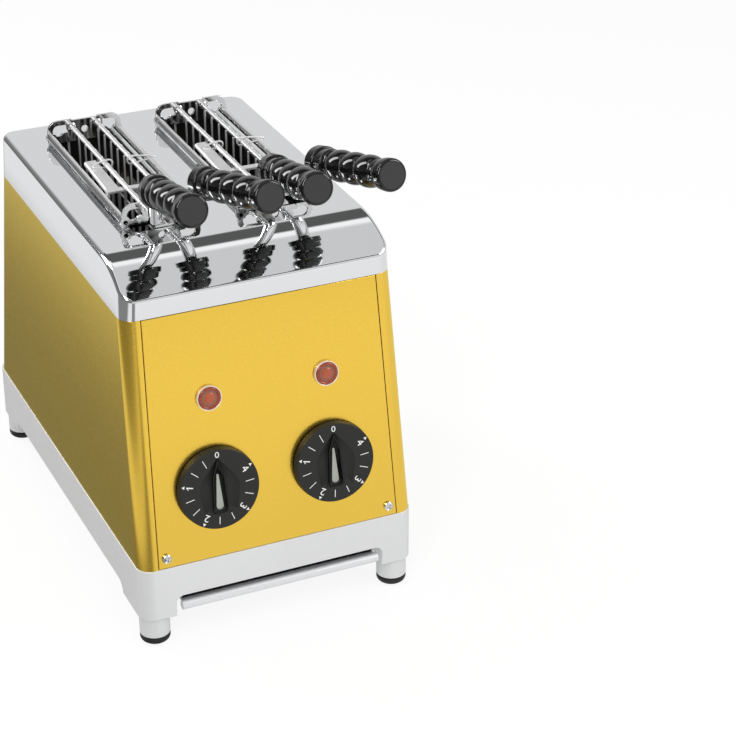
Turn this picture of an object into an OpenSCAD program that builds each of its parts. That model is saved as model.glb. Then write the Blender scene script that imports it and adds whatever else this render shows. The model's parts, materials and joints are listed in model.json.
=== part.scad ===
// Two-slot toaster with lift-out sandwich tongs, one timer and one pilot lamp for each slot.
// Millimetres. The toaster stands on z = 0 with its controls facing -Y and its left slot at -X.
// Depths are counted from the front foot of the body, and slot heights from the flat top.

/* [Body] */
// Width of the body at the foot of its walls
body_w = 210; // [200:1:220]
// Width of the body at the top of its walls
body_top_w = 200; // [194:1:206]
// Depth of the body at the foot of its walls
body_d = 346; // [340:1:356]
// Height of the body's walls
wall_h = 182.5; // [176:0.5:190]
// How far the front leans back over the wall height
front_lean = 26.8; // [20:0.1:30]
// How far the back leans in over the wall height
back_lean = 31.8; // [20:0.1:36]
// Radius of the body's upright corners
corner_r = 11; // [8:0.5:14]
// Thickness of the body sheet
sheet = 1.5; // [1:0.1:2]
// Width of the folded strip on each side of the front panel
seam = 13; // [12:0.5:16]
// How far the middle of the body sits behind the origin
body_shift = 17; // [0:1:30]

/* [Top cap] */
// Height of the cap at the back
cap_h = 32.5; // [28:0.5:38]
// Height of the lip at the front of the cap
lip_h = 14; // [10:0.5:18]
// Depth of the curved brow behind the lip
brow = 46.2; // [40:0.2:52]
// How far each side of the cap draws in by its top
cap_draw = 2; // [1:0.1:3]
// Rounding of the cap's long top edges
cap_edge_r = 3; // [2:0.5:5]
// Thickness of the cap sheet
cap_sheet = 1.2; // [0.8:0.1:1.6]

/* [Slots] */
// Distance of each slot from the middle
slot_x = 43; // [42:0.5:46]
// Width of a slot
slot_w = 46; // [43:0.5:47]
// Distance of the slots' rear ends from the back of the cap
slot_rear = 31.7; // [28:0.1:40]
// Depth at which the slots start
slot_y = 94.5; // [92:0.5:98]
// Rounding of the slot corners
slot_r = 4; // [2:0.5:6]

/* [Base] */
// Height of the base at its corner blocks
block_h = 41; // [38:0.5:44]
// Length of a corner block along the side
block_len = 42; // [36:1:50]
// Width of a corner block across the front
block_w = 25; // [24:0.5:27]
// Height of the skirt along the sides and back
side_skirt = 33; // [30:0.5:35]
// Height of the skirt above the crumb tray
front_skirt = 25; // [22:0.5:27]
// How far the base stands proud of the body
base_lip = 0.5; // [0.2:0.1:1]
// How far the base reaches behind the body
base_back = 4; // [1:0.5:5]
// Thickness of the base's cast wall
base_wall = 5; // [4:0.5:6]
// Width of the ledge that carries the body
ledge_w = 10; // [8:0.5:12]
// Thickness of that ledge
ledge_t = 5.5; // [4:0.5:7]
// Diameter of a leg
leg_d = 22; // [18:1:23]
// Height of a leg
leg_h = 16; // [12:0.5:20]
// Distance of a leg's axis from the sides of the base
leg_inset = 12.5; // [12:0.5:15]
// Height of a rubber foot
foot_h = 6.5; // [5:0.5:8]

/* [Crumb tray] */
// Gap between the tray and each end of the mouth
tray_side = 5; // [4.5:0.1:8]
// Depth of the tray
tray_d = 296; // [280:1:304]
// Height of the tray's sides
tray_h = 6; // [5:0.2:6.4]
// Thickness of the tray sheet
tray_sheet = 1; // [0.6:0.1:1.2]
// Diameter of the rolled pull at the front
pull_d = 6.8; // [5:0.2:7.2]
// Gap between that pull and each end of the mouth
pull_side = 4; // [3:0.1:8]

/* [Controls] */
// Distance of each knob and lamp from the foot of the panel's side
control_side = 48; // [42:0.5:52]
// Height of the knobs up the panel
knob_y = 53.5; // [45:0.5:60]
// Diameter of a knob
knob_d = 60; // [50:1:64]
// Thickness of a knob's disc
knob_t = 6; // [5.6:0.1:7]
// Depth of the finger bowl in the disc
bowl_depth = 3; // [2:0.1:3.4]
// Height of the lamps up the panel
lamp_y = 120; // [110:1:130]
// Diameter of a lamp's bezel
bezel_d = 18; // [16:0.5:22]
// Diameter of a lamp's lens
lens_d = 13; // [10:0.5:13.5]
// Width of a timer's case
timer_w = 44; // [36:1:48]
// Depth of a timer's case
timer_d = 30; // [24:1:34]
// Diameter of a timer's shaft
shaft_d = 6; // [5:0.5:7]

/* [Heating] */
// Half the inner width of one heating chamber
chamber_half = 41.5; // [41:0.1:41.8]
// Thickness of the chamber sheet
chamber_sheet = 1.2; // [0.8:0.1:1.4]
// Diameter of a quartz tube
quartz_d = 9; // [8:0.5:9.5]
// Distance of the quartz tubes from the middle of a slot
quartz_x = 36; // [35.5:0.1:36.2]
// Distance of the bread guards from the middle of a slot
guard_x = 30; // [29.5:0.1:30.2]
// Diameter of the guard wire
guard_d = 2; // [1.6:0.1:2.2]

/* [Mains] */
// Distance of the cable gland from the middle
gland_x = 58; // [40:1:70]
// Height of the cable gland up the back wall
gland_y = 30; // [24:1:40]
// Diameter of the gland's thread
gland_d = 15; // [12:0.5:17]
// Width of the gland's nuts across their corners
gland_nut = 22; // [19:0.5:25]
// Bore of the gland
gland_bore = 8.5; // [6:0.5:9]
// How far the gland stands out of the back
gland_out = 9; // [7:0.5:10]
// Width of the connection block
terminal_w = 48; // [40:1:60]
// Depth of the connection block
terminal_d = 18; // [14:1:22]
// Height of the connection block
terminal_h = 16; // [12:1:20]

/* [Tongs] */
// Distance of the end brackets from the ends of the slot
bracket_inset = 10; // [6:0.5:12]
// Distance of a tong's pivot rods from the middle of the slot
rod_x = 10.1; // [9.5:0.1:11]
// Height of the pivot rods above the flat top
rod_z = 12; // [11:0.1:13]
// Diameter of a pivot rod
rod_d = 3.6; // [3.2:0.1:4.2]
// Distance of the frame's rails from the middle of the slot
rail_x = 26.2; // [26:0.1:28]
// Height of the rails above the flat top
rail_z = 5; // [4.6:0.1:5.4]
// Outer diameter of a rail
rail_d = 5.2; // [4.6:0.1:5.4]
// Bore of a rail
rail_bore = 3.4; // [2.6:0.1:3.8]
// Thickness of the stamped brackets
bracket_t = 2; // [1.5:0.1:2.4]
// Height of the brackets' arches above the flat top
arch_h = 18; // [17:0.2:20]
// Height of the brackets' lower web
web_h = 8; // [6:0.2:9]
// How far the pivot rods reach in front of the front bracket
rod_out = 15; // [8:0.5:16]
// Pitch of the wires that hang from a rod
wire_pitch = 15; // [13:0.5:17]
// Diameter of those wires
wire_d = 1.8; // [1.6:0.1:2.2]
// Depth of the wire grids below their rods
grid_depth = 130; // [110:1:136]
// Length of a handle
handle_len = 104; // [90:1:115]
// Diameter of a handle's beads
handle_d = 22.4; // [20:0.2:23]
// Diameter of the collar at a handle's foot
collar_d = 23.6; // [21:0.2:24]
// Rise of a handle above the level
handle_tilt = 15; // [10:0.5:20]
// Splay of a handle away from the middle of the tong
handle_splay = 5.4; // [4:0.1:8]
// Distance of a handle's foot from the middle of the tong
handle_x = 17.2; // [16.8:0.1:19]
// Height of a handle's foot above the flat top
handle_z = 43; // [40:0.5:46]
// Distance of a handle's foot in front of the slot
handle_reach = 31; // [27:0.5:36]

/* [Hidden] */
$fn = 48;

// Colours
gold = [0.93, 0.78, 0.33];
polished_steel = [0.82, 0.83, 0.84];
cast_aluminium = [0.78, 0.79, 0.80];
sheet_steel = [0.62, 0.63, 0.65];
black_gloss = [0.05, 0.05, 0.05];
knob_grey = [0.20, 0.20, 0.19];
insert_grey = [0.58, 0.60, 0.56];
rubber_black = [0.06, 0.06, 0.06];
lamp_red = [0.70, 0.22, 0.12];
bezel_pale = [0.85, 0.82, 0.72];
ceramic_white = [0.90, 0.88, 0.82];
quartz_milk = [0.88, 0.88, 0.86];

// Clearances
run_fit = 0.05;
rest_gap = 0.3;
edge_gap = 0.4;
// Thickness of a thin slice, and how far a cut runs past a face
eps = 0.01;
over = 1;

// Levels
z_block = foot_h + leg_h;
z_body = z_block + block_h;
z_wall = z_body + wall_h;
z_top = z_wall + cap_h;

// Depths
y_front = body_shift - body_d / 2;
y_back = y_front + body_d;
y_cap_front = y_front + front_lean;
y_cap_back = y_back - back_lean;
y_slot = y_front + slot_y;
y_slot_end = y_cap_back - slot_rear;
slot_len = y_slot_end - y_slot;

// Front panel plane
lean = atan(front_lean / wall_h);
back_angle = atan(back_lean / wall_h);
panel_len = wall_h / cos(lean);
panel_foot = body_w / 2 - seam;
panel_head = body_top_w / 2 - seam;
flange_t = 1.2;
flange_w = 15;
flange_joint = 1.6;
screw_side = 6.7;
screw_x = panel_foot - screw_side;
screw_y = 7.8;
screw_d = 3.8;
screw_head_d = 7;
screw_head_h = 2.2;
screw_len = 9;

// Cap curve: an arc that is level at the flat top and ends at the lip
brow_drop = cap_h - lip_h;
brow_r = (brow * brow + brow_drop * brow_drop) / (2 * brow_drop);
brow_steps = 14;

// Base
base_x = body_w / 2 + base_lip;
base_y0 = y_front - base_lip;
base_y1 = y_back + base_back;
base_mid = (base_y0 + base_y1) / 2;
front_gap_half = base_x - block_w - base_lip;
front_cut_r = 6;
post_inset = 1;
post_w = block_w - post_inset;
leg_root = 2;
foot_round = 4;
foot_rim = 0.4;

// Floor of the body and the tray's runners
plate_t = 1.2;
plate_gap = 0.5;
vent_margin = 3;
runner_t = 1.2;
runner_gap = 2;
runner_foot = 6;
tray_head = 1.2;
tray_w = 2 * (front_gap_half - tray_side);
pull_w = 2 * (front_gap_half - pull_side);
tray_z = z_body - front_skirt - tray_head - tray_h;
runner_x = tray_w / 2 + runner_gap;
runner_z = tray_z - rest_gap - runner_t;
runner_short = 5;
runner_y0 = base_y0 + base_wall + ledge_w + edge_gap;
runner_d = y_front + tray_d - runner_short - runner_y0;
// The rolled pull has a tongue that the floor sheet meets, and the folded walls are open at the corners
pull_drop = 1.3;
pull_z = tray_z + tray_sheet / 2 - pull_drop;
pull_tongue = 6;
fold_gap = 0.3;

// Controls, measured from the panel's outer face
control_x = panel_foot - control_side;
bush_d = shaft_d + 4;
bush_out = 0.7;
bush_root = 1;
knob_gap = 1;
shaft_back = -20;
shaft_skin = 0.5;
shaft_front = knob_gap + knob_t - bowl_depth - shaft_skin;
knob_foot = 0.6;
knob_draft = 0.5;
knob_edge = 0.6;
// Grip, bowl and insert, from the middle of the knob
grip_tip = knob_d / 2 - 7.5;
grip_tail = knob_d / 2 - 12.5;
grip_half = 5.5;
grip_taper = 1.1;
grip_shoulder = 9;
grip_heel = 2.5;
grip_sink = 0.2;
grip_wall = 0.7;
grip_nose = 3;
bowl_r = 15;
bowl_corner = 11;
bowl_tail = grip_tail + 1;
bowl_slope = 8;
bowl_round = 1;
insert_t = 0.5;
insert_tip = grip_tip - 11.8;
insert_tail = grip_tail - 1.5;
insert_half = 2.7;
insert_point = 0.8;
timer_r = 4;
barrel_d = lens_d + 1;
barrel_len = 24;
bezel_t = 2.4;
bezel_bevel = 1.2;
lens_h = 3.6;
lens_sink = 0.6;
lens_edge = bezel_t - lens_sink;

// Heating chamber
chamber_x = slot_x + chamber_half + chamber_sheet;
chamber_front = 8;
chamber_back = 10;
chamber_y0 = y_slot - chamber_front;
chamber_y1 = y_slot_end + chamber_back;
chamber_z0 = z_body + plate_t;
chamber_z1 = z_top - cap_sheet;
chamber_span = chamber_y1 - chamber_y0 - 2 * chamber_sheet;
quartz_levels = [45, 100];
holder_d = quartz_d + 1.6;
holder_len = 9;
holder_seat = 6;
guard_top = 14;
guard_low = grid_depth + 6;
guard_pitch = 24;
guard_margin = 22;
guard_fine = 0.2;
guard_count = floor((slot_len - 2 * guard_margin) / guard_pitch) + 1;

// Connection block and gland
terminal_back = 58;
terminal_y = y_front + terminal_back;
terminal_pitch = terminal_w / 3;
terminal_hole_d = 6;
terminal_hole_h = 10;
gland_back = 12;
gland_nut_t = 6;

// Tongs, measured from the flat top and the middle of the slot
wire_r = wire_d / 2;
stay_r = wire_r - 0.1;
hook_seat = 0.6;
hook_r = rod_d / 2 + hook_seat;
hook_wire_r = 0.8;
hook_lap = 0.6;
wire_x = rod_x - hook_r;
stay_lap = 0.5;
stay_x = wire_x + wire_r + stay_lap;
ledge_in = 3.4;
wire_margin = 7;
rack_y0 = y_slot + bracket_inset;
rack_y1 = y_slot_end - bracket_inset;
wire_count = floor((rack_y1 - rack_y0 - 2 * wire_margin) / wire_pitch) + 1;
wire_start = (rack_y0 + rack_y1 - (wire_count - 1) * wire_pitch) / 2;
wire_end = wire_start + (wire_count - 1) * wire_pitch;
stay_out = 2;
stay_levels = [38, 78];
bracket_front_y = rack_y0 - bracket_t;
bracket_rear_y = rack_y1;
rod_front_y = bracket_front_y - rod_out;
rod_behind = 3;
rod_rear_y = bracket_rear_y + bracket_t + rod_behind;
ring_wall = 2.4;
ring_r = rod_d / 2 + ring_wall;
band = 3.8;
arch_r = 8;
eye_wall = 1.3;
eye_r = rail_d / 2 + eye_wall;
arch_x = rail_x + rail_d / 2;
ring_lap = 1;
middle_step = 1;
middle_hole_z = 9;
middle_hole_r = 2.6;
// Folded tab and rivets on the front bracket
tab_w = 14;
tab_d = 7;
tab_t = 1.6;
rivet_x = 16.5;
rivet_z = 4;
rivet_d = 3.4;
rivet_tip_d = 2.2;
rivet_h = 1.2;
rivet_root = 0.5;
// The bar crosses below the rods, half way between two wires
bar_index = 2.5;
bar_y = wire_start + bar_index * wire_pitch;
bar_w = 6;
bar_t = 1.5;
bar_gap = 0.9;
bar_top = rod_z - rod_d / 2 - bar_gap;
bar_foot = 1;
bar_x = rail_x - rail_d / 2 - run_fit;
plate_in = rod_x + hook_r + hook_wire_r + rest_gap;
plate_out = rail_x - rail_d / 2 - edge_gap;
plate_w = plate_out - plate_in;
plate_len = 53;
plate_tip = 2;
plate_taper = 0.8;
plate_rise = 3;
clip_index = 5.25;
clip_lap = 3;
clip_seat = 0.2;
clip_short = 6;
clip_short_drop = 0.4;
clip_long_drop = 1.2;
clip_y = wire_start + clip_index * wire_pitch;
clip_d = 2;
arm_t = 2.6;
arm_r = 4.6;
stud_d = 6;
stud_len = 24;
stud_root = 0.5;

// Handle profile along its axis
collar_t = 11;
step_t = 10;
groove_t = 3;
collar_step = 1.2;
step_d = collar_d - 2 * collar_step;
bead_rise = 2.5;
valley_d = handle_d - 2 * bead_rise;
edge_r = 0.8;
bead_start = collar_t + step_t + groove_t;
bead_count = 3;
end_t = 3;
flare = 20;
bead_pitch = (handle_len - bead_start - flare) / bead_count;
bead_steps = 8;

// Half width, front and back of the body at a height
function half_at(z) = body_w / 2 - (body_w - body_top_w) / 2 * (z - z_body) / wall_h;
function front_at(z) = y_front + front_lean * (z - z_body) / wall_h;
function back_at(z) = y_back - back_lean * (z - z_body) / wall_h;

// Rounded rectangle about the origin, with true round corners
module round_rect(w, d, r) {
    square([w - 2 * r, d], center = true);
    square([w, d - 2 * r], center = true);
    for (x = [-1, 1], y = [-1, 1])
        translate([x * (w / 2 - r), y * (d / 2 - r)]) circle(r);
}

// Upright bar along Y from one depth to another
module along_y(y0, y1, r) translate([0, y1, 0]) rotate([90, 0, 0]) cylinder(h = y1 - y0, r = r);

// Places children on the front panel: x across, y up the slope, z out of the panel
module on_panel() translate([0, y_front, z_body]) rotate([90 - lean, 0, 0]) children();

// Places children on the back wall in the same way
module on_back() translate([0, y_back, z_body]) rotate([90 - back_angle, 0, 180]) children();

// One level of the tapered body
module body_level(z, inset) {
    r = corner_r - inset;
    for (x = [-1, 1], y = [front_at(z) + inset + r, back_at(z) - inset - r])
        translate([x * (half_at(z) - inset - r), y, z]) cylinder(h = eps, r = r, $fn = 32);
}

// Tapered body with rounded corners
module body_block(z0, z1, inset) hull() {
    body_level(z0, inset);
    body_level(z1 - eps, inset);
}

// Strip of the panel plane between two offsets from the panel's edge
module edge_strip(from_edge, to_edge, z0, z1) for (s = [-1, 1])
    translate([0, 0, z0]) linear_extrude(z1 - z0) polygon([
        [s * (panel_foot + from_edge), 0], [s * (panel_foot + to_edge), 0],
        [s * (panel_head + to_edge), panel_len], [s * (panel_head + from_edge), panel_len]]);

// Outline of the front panel
module panel_outline(gap) polygon([
    [-panel_foot + gap, gap], [panel_foot - gap, gap],
    [panel_head - gap, panel_len - gap], [-panel_head + gap, panel_len - gap]]);

// Solid base outline between two heights
module base_block(inset, z0, z1) translate([0, base_mid, z0]) linear_extrude(z1 - z0)
    round_rect(2 * (base_x - inset), base_y1 - base_y0 - 2 * inset, max(1, corner_r - inset));

// Places children at the four legs
module at_legs() for (x = [-1, 1], y = [base_y0 + leg_inset, base_y1 - leg_inset])
    translate([x * (base_x - leg_inset), y, 0]) children();

// Cut below the skirt: a flat run with round ends
module skirt_cut(length, height, r) {
    translate([-length / 2, -over]) square([length, height + over - r]);
    translate([-length / 2 + r, -over]) square([length - 2 * r, height + over]);
    for (s = [-1, 1]) translate([s * (length / 2 - r), height - r]) circle(r);
}

module base_frame() color(cast_aluminium) difference() {
    side_cut = block_h - side_skirt;
    front_cut = block_h - front_skirt;
    side_len = body_d - 2 * block_len;
    back_len = body_w - 2 * block_len;
    union() {
        difference() {
            base_block(0, z_block, z_body);
            base_block(base_wall, z_block - over, z_body + over);
        }
        difference() {
            base_block(post_inset, z_body - ledge_t, z_body);
            base_block(base_wall + ledge_w, z_body - ledge_t - over, z_body + over);
        }
        intersection() {
            base_block(post_inset, z_block, z_body - post_inset);
            for (x = [-1, 1], y = [base_y0 + post_w / 2, base_y1 - post_w / 2])
                translate([x * (base_x - post_w / 2), y, (z_block + z_body) / 2])
                    cube([post_w, post_w, block_h], center = true);
        }
        at_legs() translate([0, 0, foot_h]) cylinder(h = leg_h + leg_root, d = leg_d);
    }
    // Side skirts
    translate([-base_x - over, base_mid, z_block]) rotate([90, 0, 90])
        linear_extrude(2 * (base_x + over)) skirt_cut(side_len, side_cut, side_cut);
    // Back skirt
    translate([0, base_y1 + over, z_block]) rotate([90, 0, 0])
        linear_extrude(base_wall + 2 * over) skirt_cut(back_len, side_cut, side_cut);
    // Mouth of the crumb tray
    translate([0, base_y0 + base_wall + over, z_block]) rotate([90, 0, 0])
        linear_extrude(base_wall + 2 * over) skirt_cut(2 * front_gap_half, front_cut, front_cut_r);
}

module rubber_feet() color(rubber_black) at_legs() rotate_extrude() polygon(concat(
    [[0, 0]],
    [for (a = [0:15:90])
        [leg_d / 2 - foot_round + (foot_round - foot_rim) * sin(a), foot_round * (1 - cos(a))]],
    [[leg_d / 2 - foot_rim, foot_h], [0, foot_h]]));

module bottom_plate() color(sheet_steel) difference() {
    inset = sheet + plate_gap;
    front = front_at(z_body + plate_t) + (sheet + flange_t) / cos(lean) + plate_gap;
    intersection() {
        body_block(z_body, z_body + plate_t, inset);
        translate([-body_w, front, z_body]) cube([2 * body_w, body_d, plate_t]);
    }
    for (s = [-1, 1]) translate([s * slot_x, (chamber_y0 + chamber_y1) / 2, z_body + plate_t / 2])
        cube([2 * (chamber_half - vent_margin), chamber_y1 - chamber_y0 - 2 * vent_margin, plate_t + over],
            center = true);
}

module tray_runners() color(sheet_steel) for (s = [-1, 1]) {
    translate([s * (runner_x + runner_t / 2), runner_y0 + runner_d / 2, (runner_z + z_body) / 2])
        cube([runner_t, runner_d, z_body - runner_z], center = true);
    translate([s * (runner_x + runner_t - runner_foot / 2), runner_y0 + runner_d / 2, runner_z + runner_t / 2])
        cube([runner_foot, runner_d, runner_t], center = true);
}

// Floor sheet of the tray
module crumb_tray() color(sheet_steel) translate([-tray_w / 2, y_front + pull_tongue, tray_z])
    cube([tray_w, tray_d - pull_tongue, tray_sheet]);

// Folded walls along the tray's sides and rear
module tray_rim() color(sheet_steel) translate([0, 0, tray_z + tray_sheet]) {
    rise = tray_h - tray_sheet;
    side_d = tray_d - pull_tongue;
    for (s = [-1, 1])
        translate([s * (tray_w - tray_sheet) / 2, y_front + pull_tongue + side_d / 2, rise / 2])
            cube([tray_sheet, side_d, rise], center = true);
    translate([0, y_front + tray_d - tray_sheet / 2, rise / 2])
        cube([tray_w - 2 * (tray_sheet + fold_gap), tray_sheet, rise], center = true);
}

// Rolled pull along the tray's front edge
module tray_pull() color(sheet_steel) {
    translate([-pull_w / 2, y_front, pull_z]) rotate([0, 90, 0]) cylinder(h = pull_w, d = pull_d);
    translate([-tray_w / 2, y_front, tray_z]) cube([tray_w, pull_tongue, tray_sheet]);
}

module body_wrap() color(gold) difference() {
    union() {
        difference() {
            body_block(z_body, z_wall, 0);
            body_block(z_body - over, z_wall + over, sheet);
            on_panel() translate([0, 0, -sheet - over]) linear_extrude(sheet + 2 * over) polygon([
                [-panel_foot, -over], [panel_foot, -over],
                [panel_head, panel_len + over], [-panel_head, panel_len + over]]);
        }
        intersection() {
            body_block(z_body, z_wall, 0);
            on_panel() {
                edge_strip(-flange_w, flange_joint, -sheet - flange_t, -sheet);
                edge_strip(0, flange_joint, -sheet - flange_t, -sheet / 2);
            }
        }
    }
    on_panel() for (s = [-1, 1]) translate([s * screw_x, screw_y, -sheet - flange_t - over])
        cylinder(h = flange_t + 2 * over, d = screw_d + 2 * run_fit);
    on_back() translate([-gland_x, gland_y, -sheet - over])
        cylinder(h = sheet + 2 * over, d = gland_d + 2 * run_fit);
}

// Hole through the front panel for a piece of a given diameter
module panel_hole(x, y, d) translate([x, y, -sheet - over])
    cylinder(h = sheet + 2 * over, d = d + 2 * run_fit);

module front_panel() color(gold) on_panel() difference() {
    translate([0, 0, -sheet]) linear_extrude(sheet) panel_outline(edge_gap);
    for (s = [-1, 1]) {
        panel_hole(s * control_x, knob_y, bush_d);
        panel_hole(s * control_x, lamp_y, barrel_d);
        panel_hole(s * screw_x, screw_y, screw_d);
    }
}

module panel_screws() color(polished_steel) on_panel() for (s = [-1, 1])
    translate([s * screw_x, screw_y, 0]) rotate_extrude() polygon(concat(
        [[0, screw_head_h - screw_len], [screw_d / 2, screw_head_h - screw_len], [screw_d / 2, 0]],
        [for (a = [0:15:90]) [screw_head_d / 2 * cos(a), screw_head_h * sin(a)]]));

// Side outline of the cap: the lip, the brow's arc, the flat top and the back, drawn in by an inset
module cap_side(inset, z0) {
    r = brow_r - inset;
    sweep = asin((brow - inset) / r);
    polygon(concat(
        [[y_cap_back - inset, z0], [y_cap_back - inset, z_top - inset]],
        [for (i = [0:brow_steps]) let (t = sweep * i / brow_steps)
            [y_cap_front + brow - r * sin(t), z_top - brow_r + r * cos(t)]],
        [[y_cap_front + inset, z0]]));
}

// Front outline of the cap, with rounded long edges
module cap_section(inset, z0) {
    half_foot = body_top_w / 2 - inset;
    half_top = half_foot - cap_draw;
    r = cap_edge_r - min(inset, cap_edge_r - 1);
    top = z_top - inset;
    polygon(concat(
        [[half_foot, z0]],
        [for (a = [0:15:90]) [half_top - r + r * cos(a), top - r + r * sin(a)]],
        [for (a = [90:15:180]) [-half_top + r + r * cos(a), top - r + r * sin(a)]],
        [[-half_foot, z0]]));
}

// Cap form: its side outline, its front outline and its plan together
module cap_block(inset, z0) intersection() {
    rotate([90, 0, 90]) linear_extrude(body_w, center = true) cap_side(inset, z0);
    translate([0, y_back, 0]) rotate([90, 0, 0]) linear_extrude(body_d) cap_section(inset, z0);
    translate([0, (y_cap_front + y_cap_back) / 2, z0 - over]) linear_extrude(z_top - z0 + 2 * over)
        round_rect(body_top_w - 2 * inset, y_cap_back - y_cap_front - 2 * inset, corner_r - inset);
}

// Slot openings in the flat top
module slot_holes() for (s = [-1, 1])
    translate([s * slot_x, y_slot + slot_len / 2, z_top - cap_sheet - over])
        linear_extrude(cap_sheet + 2 * over) round_rect(slot_w, slot_len, slot_r);

module top_cap() color(polished_steel) difference() {
    cap_block(0, z_wall);
    cap_block(cap_sheet, z_wall - over);
    slot_holes();
}

module heat_chamber() color(sheet_steel) difference() {
    translate([-chamber_x, chamber_y0, chamber_z0])
        cube([2 * chamber_x, chamber_y1 - chamber_y0, chamber_z1 - chamber_z0]);
    for (s = [-1, 1])
        translate([s * slot_x - chamber_half, chamber_y0 + chamber_sheet, chamber_z0 - over])
            cube([2 * chamber_half, chamber_span, chamber_z1 - chamber_z0 + 2 * over]);
}

// Places children at the quartz tubes of one slot, on the slot's chamber wall at the front
module at_tubes(side) for (x = [-1, 1], level = quartz_levels)
    translate([side * slot_x + x * quartz_x, chamber_y0 + chamber_sheet, z_top - level]) children();

module quartz_heaters(side) color(quartz_milk) {
    seat = holder_len - holder_seat;
    at_tubes(side) along_y(seat, chamber_span - seat, quartz_d / 2);
}

module ceramic_holders(side) color(ceramic_white) {
    seat = holder_len - holder_seat;
    at_tubes(side) difference() {
        union() {
            along_y(0, holder_len, holder_d / 2);
            along_y(chamber_span - holder_len, chamber_span, holder_d / 2);
        }
        along_y(seat, chamber_span - seat, quartz_d / 2 + run_fit);
    }
}

module bread_guards(side) color(polished_steel) for (x = [-1, 1])
    translate([side * slot_x + x * guard_x, 0, z_top]) {
        first = (y_slot + y_slot_end - (guard_count - 1) * guard_pitch) / 2;
        for (level = [guard_top, guard_low])
            translate([0, 0, -level])
                along_y(chamber_y0 + chamber_sheet, chamber_y1 - chamber_sheet, guard_d / 2);
        for (i = [0:guard_count - 1]) translate([0, first + i * guard_pitch, -guard_low])
            cylinder(h = guard_low - guard_top, d = guard_d - guard_fine);
    }

module timer(side) color(sheet_steel) on_panel() translate([side * control_x, knob_y, 0]) difference() {
    union() {
        translate([0, 0, -sheet - timer_d]) linear_extrude(timer_d) round_rect(timer_w, timer_w, timer_r);
        translate([0, 0, -sheet - bush_root]) cylinder(h = sheet + bush_root + bush_out, d = bush_d);
    }
    translate([0, 0, shaft_back - rest_gap])
        cylinder(h = bush_out - shaft_back + over, d = shaft_d + 2 * run_fit);
}

module timer_shaft(side) color(polished_steel) on_panel()
    translate([side * control_x, knob_y, shaft_back]) cylinder(h = shaft_front - shaft_back, d = shaft_d);

// Outline of the grip, drawn in by a wall: a blade with its point towards the zero and a square tail
module grip_outline(wall, nose) {
    half = grip_half - wall;
    waist = half - grip_taper;
    tail = grip_tail - wall;
    polygon([[0, grip_tip - nose], [-waist, grip_shoulder], [-half, grip_heel - grip_tail],
             [-waist, -tail], [waist, -tail], [half, grip_heel - grip_tail], [waist, grip_shoulder]]);
}

// Teardrop on the floor of the grip's recess
module insert_outline() {
    translate([0, insert_half - insert_tail]) circle(insert_half);
    translate([0, insert_tip - insert_point]) circle(insert_point);
    polygon([[-insert_point, insert_tip - insert_point], [-insert_half, insert_half - insert_tail],
             [insert_half, insert_half - insert_tail], [insert_point, insert_tip - insert_point]]);
}

// One level of the finger bowl: round, drawn out to the grip's point and squared at its tail
module bowl_level(z, inset) translate([0, 0, z]) linear_extrude(eps) {
    circle(bowl_r - inset, $fn = 32);
    translate([0, grip_tip - inset]) circle(bowl_round, $fn = 16);
    for (s = [-1, 1]) translate([s * (bowl_corner - inset / 2), bowl_round - bowl_tail + inset / 2])
        circle(bowl_round, $fn = 16);
}

module knob(side) color(knob_grey) on_panel() translate([side * control_x, knob_y, knob_gap]) difference() {
    union() {
        difference() {
            rotate_extrude($fn = 96) polygon([
                [0, 0], [knob_d / 2 - knob_foot, 0], [knob_d / 2, knob_foot],
                [knob_d / 2 - knob_draft, knob_t - knob_edge], [knob_d / 2 - knob_draft - knob_edge, knob_t],
                [0, knob_t]]);
            hull() {
                bowl_level(knob_t, 0);
                bowl_level(knob_t - bowl_depth, bowl_slope);
            }
        }
        translate([0, 0, knob_t - bowl_depth - eps])
            linear_extrude(bowl_depth - grip_sink + eps) grip_outline(0, 0);
    }
    translate([0, 0, knob_t - bowl_depth])
        linear_extrude(bowl_depth + over) grip_outline(grip_wall, grip_nose);
    translate([0, 0, -over])
        cylinder(h = shaft_front - knob_gap + over + run_fit, d = shaft_d + 2 * run_fit);
}

module knob_insert(side) color(insert_grey) on_panel()
    translate([side * control_x, knob_y, knob_gap + knob_t - bowl_depth])
        linear_extrude(insert_t) insert_outline();

module lamp_bezel(side) color(bezel_pale) on_panel() translate([side * control_x, lamp_y, 0]) difference() {
    rotate_extrude() polygon([
        [0, -barrel_len], [barrel_d / 2, -barrel_len], [barrel_d / 2, 0], [bezel_d / 2, 0],
        [bezel_d / 2, bezel_t - bezel_bevel], [bezel_d / 2 - bezel_bevel, bezel_t], [0, bezel_t]]);
    cylinder(h = bezel_t + over, d = lens_d + 2 * run_fit);
}

module lamp_lens(side) color(lamp_red) on_panel() translate([side * control_x, lamp_y, 0])
    rotate_extrude() polygon(concat(
        [[0, 0], [lens_d / 2, 0]],
        [for (a = [0:10:90]) [lens_d / 2 * cos(a), lens_edge + (lens_h - lens_edge) * sin(a)]]));

// Connection block on the floor of the body, behind the panel
module terminal_block() color(ceramic_white) translate([0, terminal_y, z_body + plate_t]) difference() {
    translate([-terminal_w / 2, -terminal_d / 2, 0]) cube([terminal_w, terminal_d, terminal_h]);
    for (i = [-1:1]) translate([i * terminal_pitch, 0, terminal_h - terminal_hole_h])
        cylinder(h = terminal_hole_h + over, d = terminal_hole_d);
}

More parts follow.
